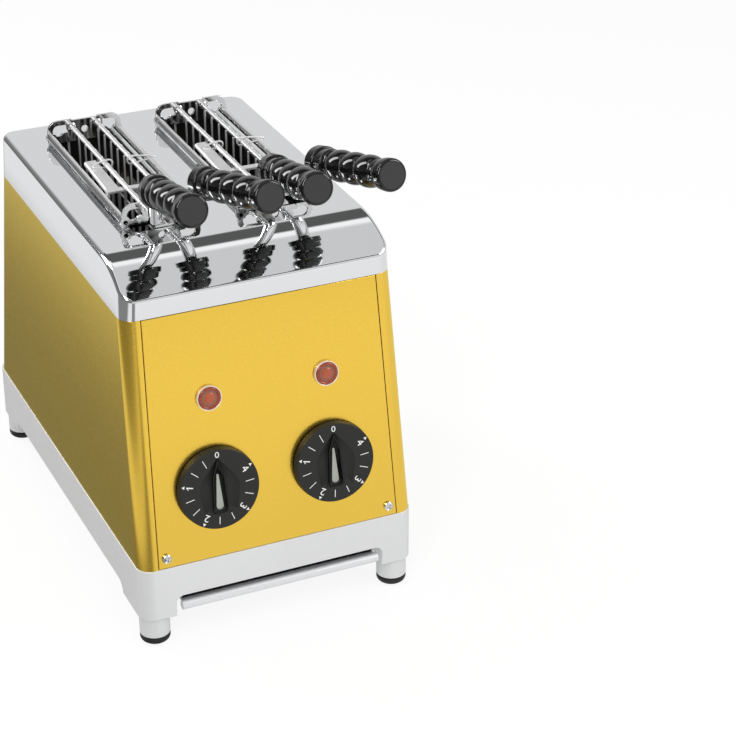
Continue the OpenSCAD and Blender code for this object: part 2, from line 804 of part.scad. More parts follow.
// Cable gland low on the back wall: a threaded tube with a nut on each side of the sheet
module cable_gland() color(black_gloss) on_back() translate([-gland_x, gland_y, 0]) difference() {
    union() {
        translate([0, 0, -sheet - gland_back]) cylinder(h = sheet + gland_back + gland_out, d = gland_d);
        for (z = [0, -sheet - gland_nut_t]) translate([0, 0, z])
            cylinder(h = gland_nut_t, d = gland_nut, $fn = 6);
    }
    translate([0, 0, -sheet - gland_back - over])
        cylinder(h = sheet + gland_back + gland_out + 2 * over, d = gland_bore);
}

// Places children in the frame of one tong: x from the slot's middle, z from the flat top
module on_slot(side) translate([side * slot_x, 0, z_top]) children();

// Quarter-round arch end: a rectangle whose outer top corner is an arc
module arch_end(x0, x1, z0, z1, r) {
    translate([x0, z0]) square([x1 - x0 - r, z1 - z0]);
    translate([x0, z0]) square([x1 - x0, z1 - z0 - r]);
    translate([x1 - r, z1 - r]) circle(r);
}

// Stamped bracket: two arches, two pivot rings, a pierced middle and an eye for each rail
module bracket_outline() difference() {
    union() {
        translate([-rod_x, rest_gap]) square([2 * rod_x, arch_h - middle_step - rest_gap]);
        for (s = [0, 1]) mirror([s, 0]) {
            difference() {
                arch_end(rod_x, arch_x, rest_gap, arch_h, arch_r);
                arch_end(rod_x + ring_r - ring_lap, arch_x - band, web_h, arch_h - band, arch_r - band);
            }
            translate([rod_x, rod_z]) circle(ring_r);
            intersection() {
                translate([rail_x, rail_z]) circle(eye_r);
                translate([rail_x - eye_r, rest_gap]) square(2 * eye_r);
            }
        }
    }
    for (s = [-1, 1]) {
        translate([s * rod_x, rod_z]) circle(rod_d / 2 + run_fit);
        translate([s * rail_x, rail_z]) circle(rail_bore / 2);
    }
    translate([0, middle_hole_z]) circle(middle_hole_r);
}

// Bracket plate with its back at a depth
module bracket_plate(y) translate([0, y + bracket_t, 0]) rotate([90, 0, 0])
    linear_extrude(bracket_t) bracket_outline();

module tong_front_bracket(side) color(polished_steel) on_slot(side) {
    bracket_plate(bracket_front_y);
    // Folded tab and two rivets below the pivots
    translate([-tab_w / 2, bracket_front_y - tab_d, rest_gap]) cube([tab_w, tab_d + rivet_root, tab_t]);
    for (s = [-1, 1]) translate([s * rivet_x, bracket_front_y + rivet_root, rivet_z]) rotate([90, 0, 0])
        cylinder(h = rivet_h + rivet_root, d1 = rivet_d, d2 = rivet_tip_d);
}

module tong_rear_bracket(side) color(polished_steel) on_slot(side) bracket_plate(bracket_rear_y);

module tong_rails(side) color(polished_steel) on_slot(side) for (s = [-1, 1])
    translate([s * rail_x, 0, rail_z]) difference() {
        along_y(bracket_front_y + bracket_t, bracket_rear_y, rail_d / 2);
        along_y(bracket_front_y, bracket_rear_y + over, rail_bore / 2);
    }

// Bridge between the rails, with the catch plate that leans back to the left rod's clip
module tong_cross_bar(side) color(polished_steel) on_slot(side) {
    translate([0, bar_y + bar_w / 2, 0]) rotate([90, 0, 0]) linear_extrude(bar_w) difference() {
        translate([-bar_x, bar_foot]) square([2 * bar_x, bar_top - bar_foot]);
        translate([-bar_x + bar_t, bar_foot - over])
            square([2 * (bar_x - bar_t), bar_top - bar_foot + over - bar_t]);
    }
    hull() {
        translate([-plate_out, bar_y, bar_top - bar_t]) cube([plate_w, plate_tip, bar_t]);
        translate([-plate_out + plate_taper, bar_y + plate_len, rod_z - plate_rise])
            cube([plate_w - plate_taper, plate_tip, bar_t]);
    }
}

// One hanging wire: its hook round the rod, the straight drop and the turned-in foot
module hanging_wire() {
    translate([rod_x, 0, rod_z]) rotate([90, 0, 0]) rotate_extrude()
        translate([hook_r, 0]) circle(hook_wire_r, $fn = 24);
    translate([wire_x, 0, rod_z - grid_depth]) cylinder(h = grid_depth + hook_lap, r = wire_r);
    translate([wire_x - ledge_in, 0, rod_z - grid_depth]) rotate([0, 90, 0])
        cylinder(h = ledge_in, r = stay_r);
}

// Right-hand grid of a tong: rod, hanging wires, stays and the clip that stops the swing
module grid_half() {
    translate([rod_x, 0, rod_z]) along_y(rod_front_y, rod_rear_y, rod_d / 2);
    for (i = [0:wire_count - 1]) translate([0, wire_start + i * wire_pitch, 0]) hanging_wire();
    for (level = stay_levels)
        translate([stay_x, 0, rod_z - level]) along_y(wire_start - stay_out, wire_end + stay_out, stay_r);
    translate([wire_x - ledge_in, 0, rod_z - grid_depth])
        along_y(wire_start - stay_out, wire_end + stay_out, wire_r);
}

// Wire finger of a given reach, from the rod outwards
module clip_finger(reach, drop) translate([rod_x, clip_y, rod_z + rod_d / 2 - clip_seat])
    rotate([0, 90 + atan(drop / reach), 0]) translate([0, 0, -clip_lap])
        cylinder(h = reach + clip_lap, d = clip_d);

module tong_left_grid(side) color(polished_steel) on_slot(side) mirror([1, 0, 0]) {
    grid_half();
    clip_finger(clip_short, clip_short_drop);
}

module tong_right_grid(side) color(polished_steel) on_slot(side) {
    grid_half();
    clip_finger(rail_x - rod_x, clip_long_drop);
}

// Places children at a handle's foot with z along the handle, for the right half of a tong
module on_handle() translate([handle_x, y_slot - handle_reach, handle_z])
    rotate([0, 0, -90 + handle_splay]) rotate([0, 90 - handle_tilt, 0]) children();

// Right arm: a strip from the rod's end to the handle's foot, with the stud that holds the handle
module arm_form() {
    hull() {
        translate([rod_x, 0, rod_z]) along_y(rod_front_y - arm_t, rod_front_y, arm_r, $fn = 32);
        on_handle() translate([0, 0, -arm_t]) cylinder(h = arm_t, r = arm_r, $fn = 32);
    }
    on_handle() translate([0, 0, -stud_root]) cylinder(h = stud_len + stud_root, d = stud_d);
}

// Handle: collar, step, beads and a flared end with a flat face
module handle_form() difference() {
    beads = [for (b = [0:bead_count - 1], i = [0:bead_steps - 1])
        let (t = i / bead_steps)
        [valley_d / 2 + bead_rise * sin(180 * t), bead_start + (b + t) * bead_pitch]];
    flare_start = handle_len - flare;
    rotate_extrude() polygon(concat(
        [[0, 0], [collar_d / 2 - edge_r, 0], [collar_d / 2, edge_r], [collar_d / 2, collar_t - edge_r],
         [collar_d / 2 - edge_r, collar_t], [step_d / 2, collar_t], [step_d / 2, collar_t + step_t - edge_r],
         [step_d / 2 - edge_r, collar_t + step_t]],
        beads,
        [for (i = [0:bead_steps]) let (t = i / bead_steps)
            [valley_d / 2 + bead_rise * (1 - cos(90 * t)), flare_start + (flare - end_t) * t]],
        [[handle_d / 2, handle_len - edge_r], [handle_d / 2 - edge_r, handle_len], [0, handle_len]]));
    translate([0, 0, -over]) cylinder(h = stud_len + over + rest_gap, d = stud_d + 2 * run_fit);
}

module tong_left_arm(side) color(polished_steel) on_slot(side) mirror([1, 0, 0]) arm_form();
module tong_right_arm(side) color(polished_steel) on_slot(side) arm_form();
module tong_left_handle(side) color(black_gloss) on_slot(side) mirror([1, 0, 0]) on_handle() handle_form();
module tong_right_handle(side) color(black_gloss) on_slot(side) on_handle() handle_form();

// Left is -1 and right is 1
left = -1;
right = 1;

base_frame();
rubber_feet();
bottom_plate();
tray_runners();
crumb_tray();
tray_rim();
tray_pull();
body_wrap();
front_panel();
panel_screws();
top_cap();
heat_chamber();
quartz_heaters(left);  // quartz_heaters_left
quartz_heaters(right);  // quartz_heaters_right
ceramic_holders(left);  // ceramic_holders_left
ceramic_holders(right);  // ceramic_holders_right
bread_guards(left);  // bread_guards_left
bread_guards(right);  // bread_guards_right
timer(left);  // timer_left
timer(right);  // timer_right
timer_shaft(left);  // timer_shaft_left
timer_shaft(right);  // timer_shaft_right
knob(left);  // knob_left
knob(right);  // knob_right
knob_insert(left);  // knob_insert_left
knob_insert(right);  // knob_insert_right
lamp_bezel(left);  // lamp_bezel_left
lamp_bezel(right);  // lamp_bezel_right
lamp_lens(left);  // lamp_lens_left
lamp_lens(right);  // lamp_lens_right
terminal_block();
cable_gland();
tong_front_bracket(left);  // left_tong_front_bracket
tong_rear_bracket(left);  // left_tong_rear_bracket
tong_rails(left);  // left_tong_rails
tong_cross_bar(left);  // left_tong_cross_bar
tong_left_grid(left);  // left_tong_left_grid
tong_right_grid(left);  // left_tong_right_grid
tong_left_arm(left);  // left_tong_left_arm
tong_right_arm(left);  // left_tong_right_arm
tong_left_handle(left);  // left_tong_left_handle
tong_right_handle(left);  // left_tong_right_handle
tong_front_bracket(right);  // right_tong_front_bracket
tong_rear_bracket(right);  // right_tong_rear_bracket
tong_rails(right);  // right_tong_rails
tong_cross_bar(right);  // right_tong_cross_bar
tong_left_grid(right);  // right_tong_left_grid
tong_right_grid(right);  // right_tong_right_grid
tong_left_arm(right);  // right_tong_left_arm
tong_right_arm(right);  // right_tong_right_arm
tong_left_handle(right);  // right_tong_left_handle
tong_right_handle(right);  // right_tong_right_handle
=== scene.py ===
"""Two-slot toaster with lift-out sandwich tongs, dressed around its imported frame.

Shapes are drawn in millimetres in the frame's own axes: +Z up, controls towards -Y, left slot at -X.
Each finished piece is scaled to metres with its place in its mesh.
"""

import json
import logging
import math
from dataclasses import dataclass
from enum import Enum
from typing import Callable, Iterable, Sequence

import bmesh
import bpy
from mathutils import Matrix, Vector


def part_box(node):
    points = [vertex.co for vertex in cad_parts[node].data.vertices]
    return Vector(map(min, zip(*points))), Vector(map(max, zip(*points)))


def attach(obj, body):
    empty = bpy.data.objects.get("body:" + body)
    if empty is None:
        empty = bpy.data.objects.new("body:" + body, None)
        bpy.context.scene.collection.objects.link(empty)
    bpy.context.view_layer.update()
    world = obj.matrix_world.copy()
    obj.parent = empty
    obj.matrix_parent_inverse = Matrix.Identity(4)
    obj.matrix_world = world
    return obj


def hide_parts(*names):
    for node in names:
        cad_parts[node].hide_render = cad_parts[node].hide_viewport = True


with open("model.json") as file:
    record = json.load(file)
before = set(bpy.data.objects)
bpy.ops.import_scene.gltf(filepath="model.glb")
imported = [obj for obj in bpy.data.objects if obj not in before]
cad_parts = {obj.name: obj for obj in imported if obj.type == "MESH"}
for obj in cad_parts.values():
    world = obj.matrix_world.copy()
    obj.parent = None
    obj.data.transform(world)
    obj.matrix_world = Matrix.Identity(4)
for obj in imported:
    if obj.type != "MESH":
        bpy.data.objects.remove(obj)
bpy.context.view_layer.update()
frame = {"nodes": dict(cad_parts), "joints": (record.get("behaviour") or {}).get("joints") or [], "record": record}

Point = tuple[float, float]
Triple = tuple[float, float, float]

MM = 0.001
SLOT_X = 43.0

# Millimetres within which points merge, and the angle below which faces count as one
MERGE = 0.0005
NODE_MERGE = 0.002
FLAT = math.radians(0.6)

# Detail of the finishes' noise, the part of its range that is used and the height of its bump in metres
GRAIN_DETAIL = 4.0
SHADE_DETAIL = 3.0
NOISE_RANGE = (0.3, 0.7)
BUMP_HEIGHT = 0.0004

log = logging.getLogger("toaster")


class Side(Enum):
    """The left and right slot, or the two halves of a tong."""

    LEFT = -1
    RIGHT = 1

    @property
    def word(self) -> str:
        """The side's name as the frame's nodes and bodies write it."""
        return self.name.lower()


class Cut(Enum):
    """How one solid changes another."""

    AWAY = "DIFFERENCE"
    COMMON = "INTERSECT"


def span(node: str) -> tuple[Vector, Vector]:
    """Gives a node's lowest and highest corners in millimetres."""
    low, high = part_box(node)
    return low / MM, high / MM


def joint(name: str) -> dict:
    """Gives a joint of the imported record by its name."""
    return next(entry for entry in frame["joints"] if entry["name"] == name)


def arc(center: Point, radius: float, start: float, stop: float, steps: int) -> list[Point]:
    """Lists points along an arc.

    Args:
        center: Middle of the arc.
        radius: Radius of the arc.
        start: First angle in degrees.
        stop: Last angle in degrees.
        steps: Number of equal steps.

    Returns:
        The points from the first angle to the last.
    """
    angles = [math.radians(start + (stop - start) * i / steps) for i in range(steps + 1)]
    return [(center[0] + radius * math.cos(a), center[1] + radius * math.sin(a)) for a in angles]


class Shape:
    """A mesh in the making, in millimetres."""

    def __init__(self) -> None:
        """Starts with an empty mesh."""
        self.bm = bmesh.new()

    @classmethod
    def prism(cls, outline: Sequence[Point], height: float) -> "Shape":
        """Extrudes an outline from z = 0 to a height.

        Args:
            outline: Corner points in the XY plane.
            height: Height along Z.

        Returns:
            The closed solid.
        """
        shape = cls()
        base = shape.bm.faces.new([shape.bm.verts.new((x, y, 0.0)) for x, y in outline])
        made = bmesh.ops.extrude_face_region(shape.bm, geom=[base], use_keep_orig=True)
        top = [item for item in made["geom"] if isinstance(item, bmesh.types.BMVert)]
        bmesh.ops.translate(shape.bm, verts=top, vec=(0.0, 0.0, height))
        return shape.tidy()

    @classmethod
    def lathe(cls, profile: Sequence[Point], steps: int = 64) -> "Shape":
        """Spins a profile of (radius, height) points about the Z axis.

        Args:
            profile: Points from one end of the axis to the other.
            steps: Number of steps in the full turn.

        Returns:
            The turned solid.
        """
        shape = cls()
        verts = [shape.bm.verts.new((r, 0.0, z)) for r, z in profile]
        edges = [shape.bm.edges.new(pair) for pair in zip(verts, verts[1:])]
        bmesh.ops.spin(shape.bm, geom=verts + edges, cent=(0, 0, 0), axis=(0, 0, 1), angle=math.tau,
                       steps=steps, use_merge=True)
        return shape.tidy()

    @classmethod
    def rod(cls, start: Vector, end: Vector, radius: float, segments: int = 24) -> "Shape":
        """Makes a round bar between two points.

        Args:
            start: Middle of one end.
            end: Middle of the other end.
            radius: Radius of the bar.
            segments: Number of faces round it.

        Returns:
            The closed bar.
        """
        shape = cls()
        way = Vector(end) - Vector(start)
        middle = Matrix.Translation((Vector(start) + Vector(end)) / 2)
        turn = way.to_track_quat("Z", "Y").to_matrix().to_4x4()
        bmesh.ops.create_cone(shape.bm, cap_ends=True, segments=segments, radius1=radius, radius2=radius,
                              depth=way.length, matrix=middle @ turn)
        return shape

    @classmethod
    def wire(cls, path: Sequence[Vector], radius: float, sides: int = 2) -> "Shape":
        """Sweeps a round wire along a path of points.

        Args:
            path: Points along the middle of the wire.
            radius: Radius of the wire.
            sides: Roundness of the wire's section.

        Returns:
            The wire with closed ends.
        """
        curve = bpy.data.curves.new("wire", "CURVE")
        curve.dimensions = "3D"
        curve.bevel_depth = radius
        curve.bevel_resolution = sides
        curve.use_fill_caps = True
        spline = curve.splines.new("POLY")
        spline.points.add(len(path) - 1)
        for point, place in zip(spline.points, path):
            point.co = (*place, 1.0)
        return cls._from_object(bpy.data.objects.new("wire", curve)).tidy()

    @classmethod
    def text(cls, words: str, tall: float, thick: float, widen: float) -> "Shape":
        """Makes flat raised figures with their middle on the origin.

        Args:
            words: The figures.
            tall: Their height.
            thick: How far they stand out.
            widen: How much wider they are than the font's own.

        Returns:
            The figures in the XY plane.
        """
        curve = bpy.data.curves.new("figures", "FONT")
        curve.body = words
        curve.size = tall
        curve.extrude = thick / 2
        shape = cls._from_object(bpy.data.objects.new("figures", curve)).tidy()
        low, high = shape.corners()
        middle = (low + high) / 2
        scale = tall / (high.y - low.y)
        return shape.shift(-middle.x, -middle.y).move(Matrix.Diagonal((scale * widen, scale, 1.0, 1.0)))

    @classmethod
    def hull(cls, points: Iterable[Vector]) -> "Shape":
        """Wraps the tightest convex solid round some points.

        Args:
            points: The points to wrap.

        Returns:
            The closed solid.
        """
        shape = cls()
        verts = [shape.bm.verts.new(point) for point in points]
        made = bmesh.ops.convex_hull(shape.bm, input=verts)
        loose = {item for key in ("geom_interior", "geom_unused") for item in made[key]}
        spare = [item for item in loose if isinstance(item, bmesh.types.BMVert)]
        bmesh.ops.delete(shape.bm, geom=spare, context="VERTS")
        return shape.tidy()

    @classmethod
    def node(cls, name: str) -> "Shape":
        """Copies a frame node's mesh and joins its loose triangles into whole faces.

        Args:
            name: Name of the node.

        Returns:
            The copy in millimetres.
        """
        shape = cls()
        shape.bm.from_mesh(frame["nodes"][name].data)
        bmesh.ops.scale(shape.bm, verts=shape.bm.verts, vec=(1 / MM,) * 3)
        bmesh.ops.remove_doubles(shape.bm, verts=shape.bm.verts, dist=NODE_MERGE)
        bmesh.ops.dissolve_limit(shape.bm, angle_limit=FLAT, verts=shape.bm.verts, edges=shape.bm.edges)
        return shape

    @classmethod
    def _from_object(cls, obj: bpy.types.Object) -> "Shape":
        """Takes the finished mesh of a scratch object and removes the object.

        Args:
            obj: The scratch object.

        Returns:
            Its finished mesh as a shape.
        """
        bpy.context.scene.collection.objects.link(obj)
        mesh = bpy.data.meshes.new_from_object(obj.evaluated_get(bpy.context.evaluated_depsgraph_get()))
        shape = cls()
        shape.bm.from_mesh(mesh)
        bpy.data.meshes.remove(mesh)
        bpy.data.objects.remove(obj)
        return shape

    def corners(self) -> tuple[Vector, Vector]:
        """Gives the shape's lowest and highest corners."""
        sides = [[vert.co[axis] for vert in self.bm.verts] for axis in range(3)]
        return Vector(min(side) for side in sides), Vector(max(side) for side in sides)

    def tidy(self) -> "Shape":
        """Merges doubles and turns every face outwards.

        Returns:
            This shape.
        """
        bmesh.ops.remove_doubles(self.bm, verts=self.bm.verts, dist=MERGE)
        bmesh.ops.recalc_face_normals(self.bm, faces=self.bm.faces)
        return self

    def move(self, place: Matrix) -> "Shape":
        """Puts the shape in another place.

        Args:
            place: The change of place.

        Returns:
            This shape.
        """
        bmesh.ops.transform(self.bm, matrix=place, verts=self.bm.verts)
        if place.determinant() < 0:
            bmesh.ops.reverse_faces(self.bm, faces=self.bm.faces)
        return self

    def shift(self, x: float = 0.0, y: float = 0.0, z: float = 0.0) -> "Shape":
        """Slides the shape."""
        return self.move(Matrix.Translation((x, y, z)))

    def add(self, *others: "Shape") -> "Shape":
        """Takes other shapes into this one as separate shells.

        Args:
            others: The shapes to take in.

        Returns:
            This shape.
        """
        for other in others:
            mesh = other._mesh("shell")
            self.bm.from_mesh(mesh)
            bpy.data.meshes.remove(mesh)
        return self

    def round(self, offset: float, segments: int, choose: Callable[[bmesh.types.BMEdge], bool]) -> "Shape":
        """Rounds the edges that a test chooses.

        Args:
            offset: Distance that the rounding takes off each face.
            segments: Number of faces across the rounding.
            choose: Test that says whether an edge is rounded.

        Returns:
            This shape.
        """
        edges = [edge for edge in self.bm.edges if choose(edge)]
        bmesh.ops.bevel(self.bm, geom=edges, offset=offset, offset_type="OFFSET", segments=segments,
                        profile=0.5, affect="EDGES", clamp_overlap=True, material=-1)
        return self

    def cut(self, other: "Shape", how: Cut = Cut.AWAY) -> "Shape":
        """Changes this solid by another.

        Args:
            other: The second solid.
            how: Cut it away or keep what is common.

        Returns:
            This shape.
        """
        base = bpy.data.objects.new("base", self._mesh("base"))
        tool = bpy.data.objects.new("tool", other._mesh("tool"))
        bpy.context.scene.collection.objects.link(tool)
        change = base.modifiers.new("change", "BOOLEAN")
        change.object = tool
        change.operation = how.value
        change.solver = "EXACT"
        self.bm = Shape._from_object(base).bm
        bpy.data.objects.remove(tool)
        bmesh.ops.remove_doubles(self.bm, verts=self.bm.verts, dist=MERGE)
        return self

    def wall(self, thickness: float) -> "Shape":
        """Gives an open skin a wall of a thickness on its inner side.

        Args:
            thickness: Thickness of the wall.

        Returns:
            This shape.
        """
        base = bpy.data.objects.new("skin", self._mesh("skin"))
        change = base.modifiers.new("wall", "SOLIDIFY")
        change.thickness = thickness
        change.offset = -1.0
        change.use_even_offset = True
        self.bm = Shape._from_object(base).bm
        return self

    def drop_faces(self, choose: Callable[[bmesh.types.BMFace], bool]) -> "Shape":
        """Deletes the faces that a test chooses."""
        bmesh.ops.delete(self.bm, geom=[face for face in self.bm.faces if choose(face)], context="FACES")
        return self

    def _mesh(self, name: str) -> bpy.types.Mesh:
        """Writes the shape to a new mesh.

        Args:
            name: Name of the mesh.

        Returns:
            The new mesh.
        """
        mesh = bpy.data.meshes.new(name)
        self.bm.to_mesh(mesh)
        return mesh

    def finished(self, name: str) -> bpy.types.Mesh:
        """Writes the shape to a mesh in metres."""
        bmesh.ops.scale(self.bm, verts=self.bm.verts, vec=(MM,) * 3)
        return self._mesh(name)


def sharper_than(degrees: float) -> Callable[[bmesh.types.BMEdge], bool]:
    """Gives a test for edges whose two faces meet at more than an angle."""
    limit = math.radians(degrees)
    return lambda edge: len(edge.link_faces) == 2 and edge.calc_face_angle(0.0) > limit


def above(level: float) -> Callable[[bmesh.types.BMEdge], bool]:
    """Gives a test for edges that lie wholly above a level."""
    return lambda edge: all(vert.co.z > level for vert in edge.verts)


def along_y(end: Vector) -> Matrix:
    """Gives the place of a turned shape that starts at a point and runs towards the front."""
    return Matrix.Translation(end) @ Matrix.Rotation(math.pi / 2, 4, "X")


def upright(edge: bmesh.types.BMEdge) -> bool:
    """Says whether an edge stands up more than it lies."""
    way = edge.verts[1].co - edge.verts[0].co
    return abs(way.z) > way.xy.length


def round_block(low: Vector, high: Vector, radius: float, segments: int = 10) -> Shape:
    """Makes a block with rounded upright corners.

    Args:
        low: Lowest corner.
        high: Highest corner.
        radius: Radius of the upright corners.
        segments: Number of faces round each corner.

    Returns:
        The closed solid.
    """
    outline = [(low.x, low.y), (high.x, low.y), (high.x, high.y), (low.x, high.y)]
    return Shape.prism(outline, high.z - low.z).shift(z=low.z).round(radius, segments, upright)


@dataclass(frozen=True)
class Finish:
    """A surface finish and its node material.

    Grain is fine noise that varies the roughness and raises the surface, and shade is slow noise that
    varies the colour. Scales count features per metre.
    """

    name: str
    slot: str
    color: Triple
    metallic: float = 0.0
    roughness: float = 0.5
    spread: float = 0.04
    grain: float = 900.0
    stretch: Triple = (1.0, 1.0, 1.0)
    depth: float = 0.04
    shade: float = 0.05
    shade_scale: float = 16.0
    coat: float = 0.0
    coat_roughness: float = 0.06
    clear: float = 0.0
    specular: float = 0.5
    tint: Triple = (1.0, 1.0, 1.0)

    def material(self) -> bpy.types.Material:
        """Gives the finish's material, made on first use under a name that no frame material has."""
        name = f"{self.name}_finish"
        return bpy.data.materials.get(name) or self._make(name)

    def _make(self, name: str) -> bpy.types.Material:
        """Builds the material's nodes.

        Args:
            name: Name of the material.

        Returns:
            The new material.
        """
        material = bpy.data.materials.new(name)
        material.use_nodes = True
        tree = material.node_tree
        shader = tree.nodes["Principled BSDF"]
        shader.inputs["Metallic"].default_value = self.metallic
        shader.inputs["Specular IOR Level"].default_value = self.specular
        shader.inputs["Specular Tint"].default_value = (*self.tint, 1.0)
        shader.inputs["Coat Weight"].default_value = self.coat
        shader.inputs["Coat Roughness"].default_value = self.coat_roughness
        shader.inputs["Transmission Weight"].default_value = self.clear
        place = tree.nodes.new("ShaderNodeTexCoord").outputs["Object"]
        mapping = tree.nodes.new("ShaderNodeMapping")
        mapping.inputs["Scale"].default_value = self.stretch
        tree.links.new(place, mapping.inputs["Vector"])
        grain = self._noise(tree, mapping.outputs["Vector"], self.grain, GRAIN_DETAIL)
        slow = self._noise(tree, place, self.shade_scale, SHADE_DETAIL)
        rough = tree.nodes.new("ShaderNodeMapRange")
        rough.inputs["From Min"].default_value = NOISE_RANGE[0]
        rough.inputs["From Max"].default_value = NOISE_RANGE[1]
        rough.inputs["To Min"].default_value = max(0.0, self.roughness - self.spread)
        rough.inputs["To Max"].default_value = self.roughness + self.spread
        tree.links.new(grain, rough.inputs["Value"])
        tree.links.new(rough.outputs["Result"], shader.inputs["Roughness"])
        bump = tree.nodes.new("ShaderNodeBump")
        bump.inputs["Strength"].default_value = self.depth
        bump.inputs["Distance"].default_value = BUMP_HEIGHT
        tree.links.new(grain, bump.inputs["Height"])
        tree.links.new(bump.outputs["Normal"], shader.inputs["Normal"])
        blend = tree.nodes.new("ShaderNodeMix")
        blend.data_type = "RGBA"
        tree.links.new(slow, blend.inputs["Factor"])
        shaded = [channel * (1.0 - self.shade) for channel in self.color]
        ends = [socket for socket in blend.inputs if socket.type == "RGBA"]
        for socket, color in zip(ends, (self.color, shaded)):
            socket.default_value = (*color, 1.0)
        mixed = next(socket for socket in blend.outputs if socket.type == "RGBA")
        tree.links.new(mixed, shader.inputs["Base Color"])
        return material

    @staticmethod
    def _noise(tree: bpy.types.NodeTree, place: bpy.types.NodeSocket, scale: float,
               detail: float) -> bpy.types.NodeSocket:
        """Adds a noise texture and gives its value.

        Args:
            tree: Node tree of the material.
            place: Coordinates that the noise reads.
            scale: Features per metre.
            detail: Octaves of finer noise.

        Returns:
            The socket with the noise's value.
        """
        noise = tree.nodes.new("ShaderNodeTexNoise")
        noise.inputs["Scale"].default_value = scale
        noise.inputs["Detail"].default_value = detail
        tree.links.new(place, noise.inputs["Vector"])
        return noise.outputs["Fac"]


GOLD = Finish("gold_satin", "gold_satin", (0.97, 0.64, 0.080), 1.0, 0.24, grain=1400, depth=0.03, shade=0.03,
              coat=0.35, coat_roughness=0.25, tint=(0.92, 0.95, 0.58))
MIRROR = Finish("polished_steel", "polished_steel", (0.88, 0.89, 0.90), 1.0, 0.045, 0.015, grain=300,
                depth=0.004, shade=0.02)
CAST = Finish("cast_aluminium", "cast_aluminium", (0.67, 0.675, 0.68), 0.3, 0.42, grain=1600, depth=0.06)
SHEET = Finish("sheet_steel", "sheet_steel", (0.60, 0.61, 0.63), 1.0, 0.30, 0.06, grain=500,
               stretch=(1.0, 0.06, 1.0), depth=0.03)
ROLLED = Finish("rolled_steel", "sheet_steel", (0.76, 0.77, 0.78), 0.6, 0.34, grain=1200, depth=0.02)
BRIGHT = Finish("bright_steel", "bright_steel", (0.84, 0.84, 0.84), 1.0, 0.07, 0.03, grain=700, depth=0.006)
SATIN = Finish("satin_steel", "bright_steel", (0.80, 0.80, 0.80), 0.8, 0.34, grain=1200, depth=0.02)
# Near-black steel for the chamber and bread guards: painted shade for the inside of the slots.
PAINTED_SHADE_STEEL = Finish("heat_tinted_steel", "sheet_steel", (0.014, 0.013, 0.012), 0.2, 0.55, 0.1, grain=300, shade=0.4)
RUBBER = Finish("rubber_black", "rubber_black", (0.008, 0.008, 0.008), 0.0, 0.62, grain=1500, depth=0.1)
CERAMIC = Finish("ceramic_white", "ceramic_white", (0.78, 0.75, 0.66), 0.0, 0.55, grain=900, depth=0.08)
# Near-black ceramic for the heater holders: painted shade for the inside of the slots.
PAINTED_SHADE_CERAMIC = Finish("scorched_ceramic", "ceramic_white", (0.060, 0.054, 0.047), 0.0, 0.7, grain=900, depth=0.08,
                  shade=0.4)
QUARTZ = Finish("quartz_milk", "quartz_milk", (0.75, 0.75, 0.72), 0.0, 0.22, clear=0.5)
KNOB = Finish("knob_grey", "knob_grey", (0.018, 0.019, 0.017), 0.0, 0.50, 0.06, grain=2600, depth=0.08,
              specular=0.25)
# Darker copy of the knob's material: painted shade for the grip's hollow round the insert.
PAINTED_SHADE_GRIP = Finish("grip_black", "knob_grey", (0.006, 0.006, 0.006), 0.0, 0.42, grain=2600, depth=0.05,
              specular=0.3)
INSERT = Finish("insert_grey", "insert_grey", (0.33, 0.345, 0.30), 0.0, 0.42, grain=2200, depth=0.05)
BEZEL = Finish("lamp_bezel", "lamp_bezel", (0.74, 0.64, 0.56), 0.3, 0.18, grain=800, depth=0.02)
LENS = Finish("lamp_red", "lamp_red", (0.31, 0.046, 0.012), 0.0, 0.20, grain=650, depth=0.2, coat=0.3,
              shade=0.4, shade_scale=300)
MOAT = Finish("lamp_smoke", "lamp_red", (0.19, 0.075, 0.045), 0.0, 0.24, grain=650, depth=0.2, coat=0.2)
CORE = Finish("lamp_orange", "lamp_red", (0.40, 0.078, 0.031), 0.0, 0.22, grain=650, depth=0.2, coat=0.2,
              shade=0.25, shade_scale=300)
GLOSS = Finish("black_gloss", "black_gloss", (0.004, 0.004, 0.004), 0.0, 0.07, 0.02, grain=500, depth=0.004)
DISC = Finish("handle_end_matt", "black_gloss", (0.030, 0.030, 0.030), 0.0, 0.55, grain=2400, depth=0.06,
              specular=0.3)
MARK = Finish("dial_white", "insert_grey", (0.70, 0.70, 0.68), 0.0, 0.5, grain=900, depth=0.02)


def add_piece(name: str, shape: Shape, finish: Finish, body: str, nodes: Iterable[str] = (),
              crease: float = 38.0) -> bpy.types.Object:
    """Turns a shape into a piece of the model.

    Args:
        name: Name of the piece.
        shape: The shape in millimetres.
        finish: Its surface finish.
        body: The frame body that carries it.
        nodes: The frame nodes that it stands for.
        crease: Angle in degrees above which an edge stays sharp.

    Returns:
        The new object.
    """
    mesh = shape.finished(name)
    mesh.shade_smooth()
    mesh.set_sharp_from_angle(angle=math.radians(crease))
    mesh.materials.append(finish.material())
    piece = bpy.data.objects.new(name, mesh)
    bpy.context.scene.collection.objects.link(piece)
    normals = piece.modifiers.new("even_normals", "WEIGHTED_NORMAL")
    normals.keep_sharp = True
    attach(piece, body)
    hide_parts(*nodes)
    log.info("%s: %d faces on %s", name, len(mesh.polygons), body)
    return piece


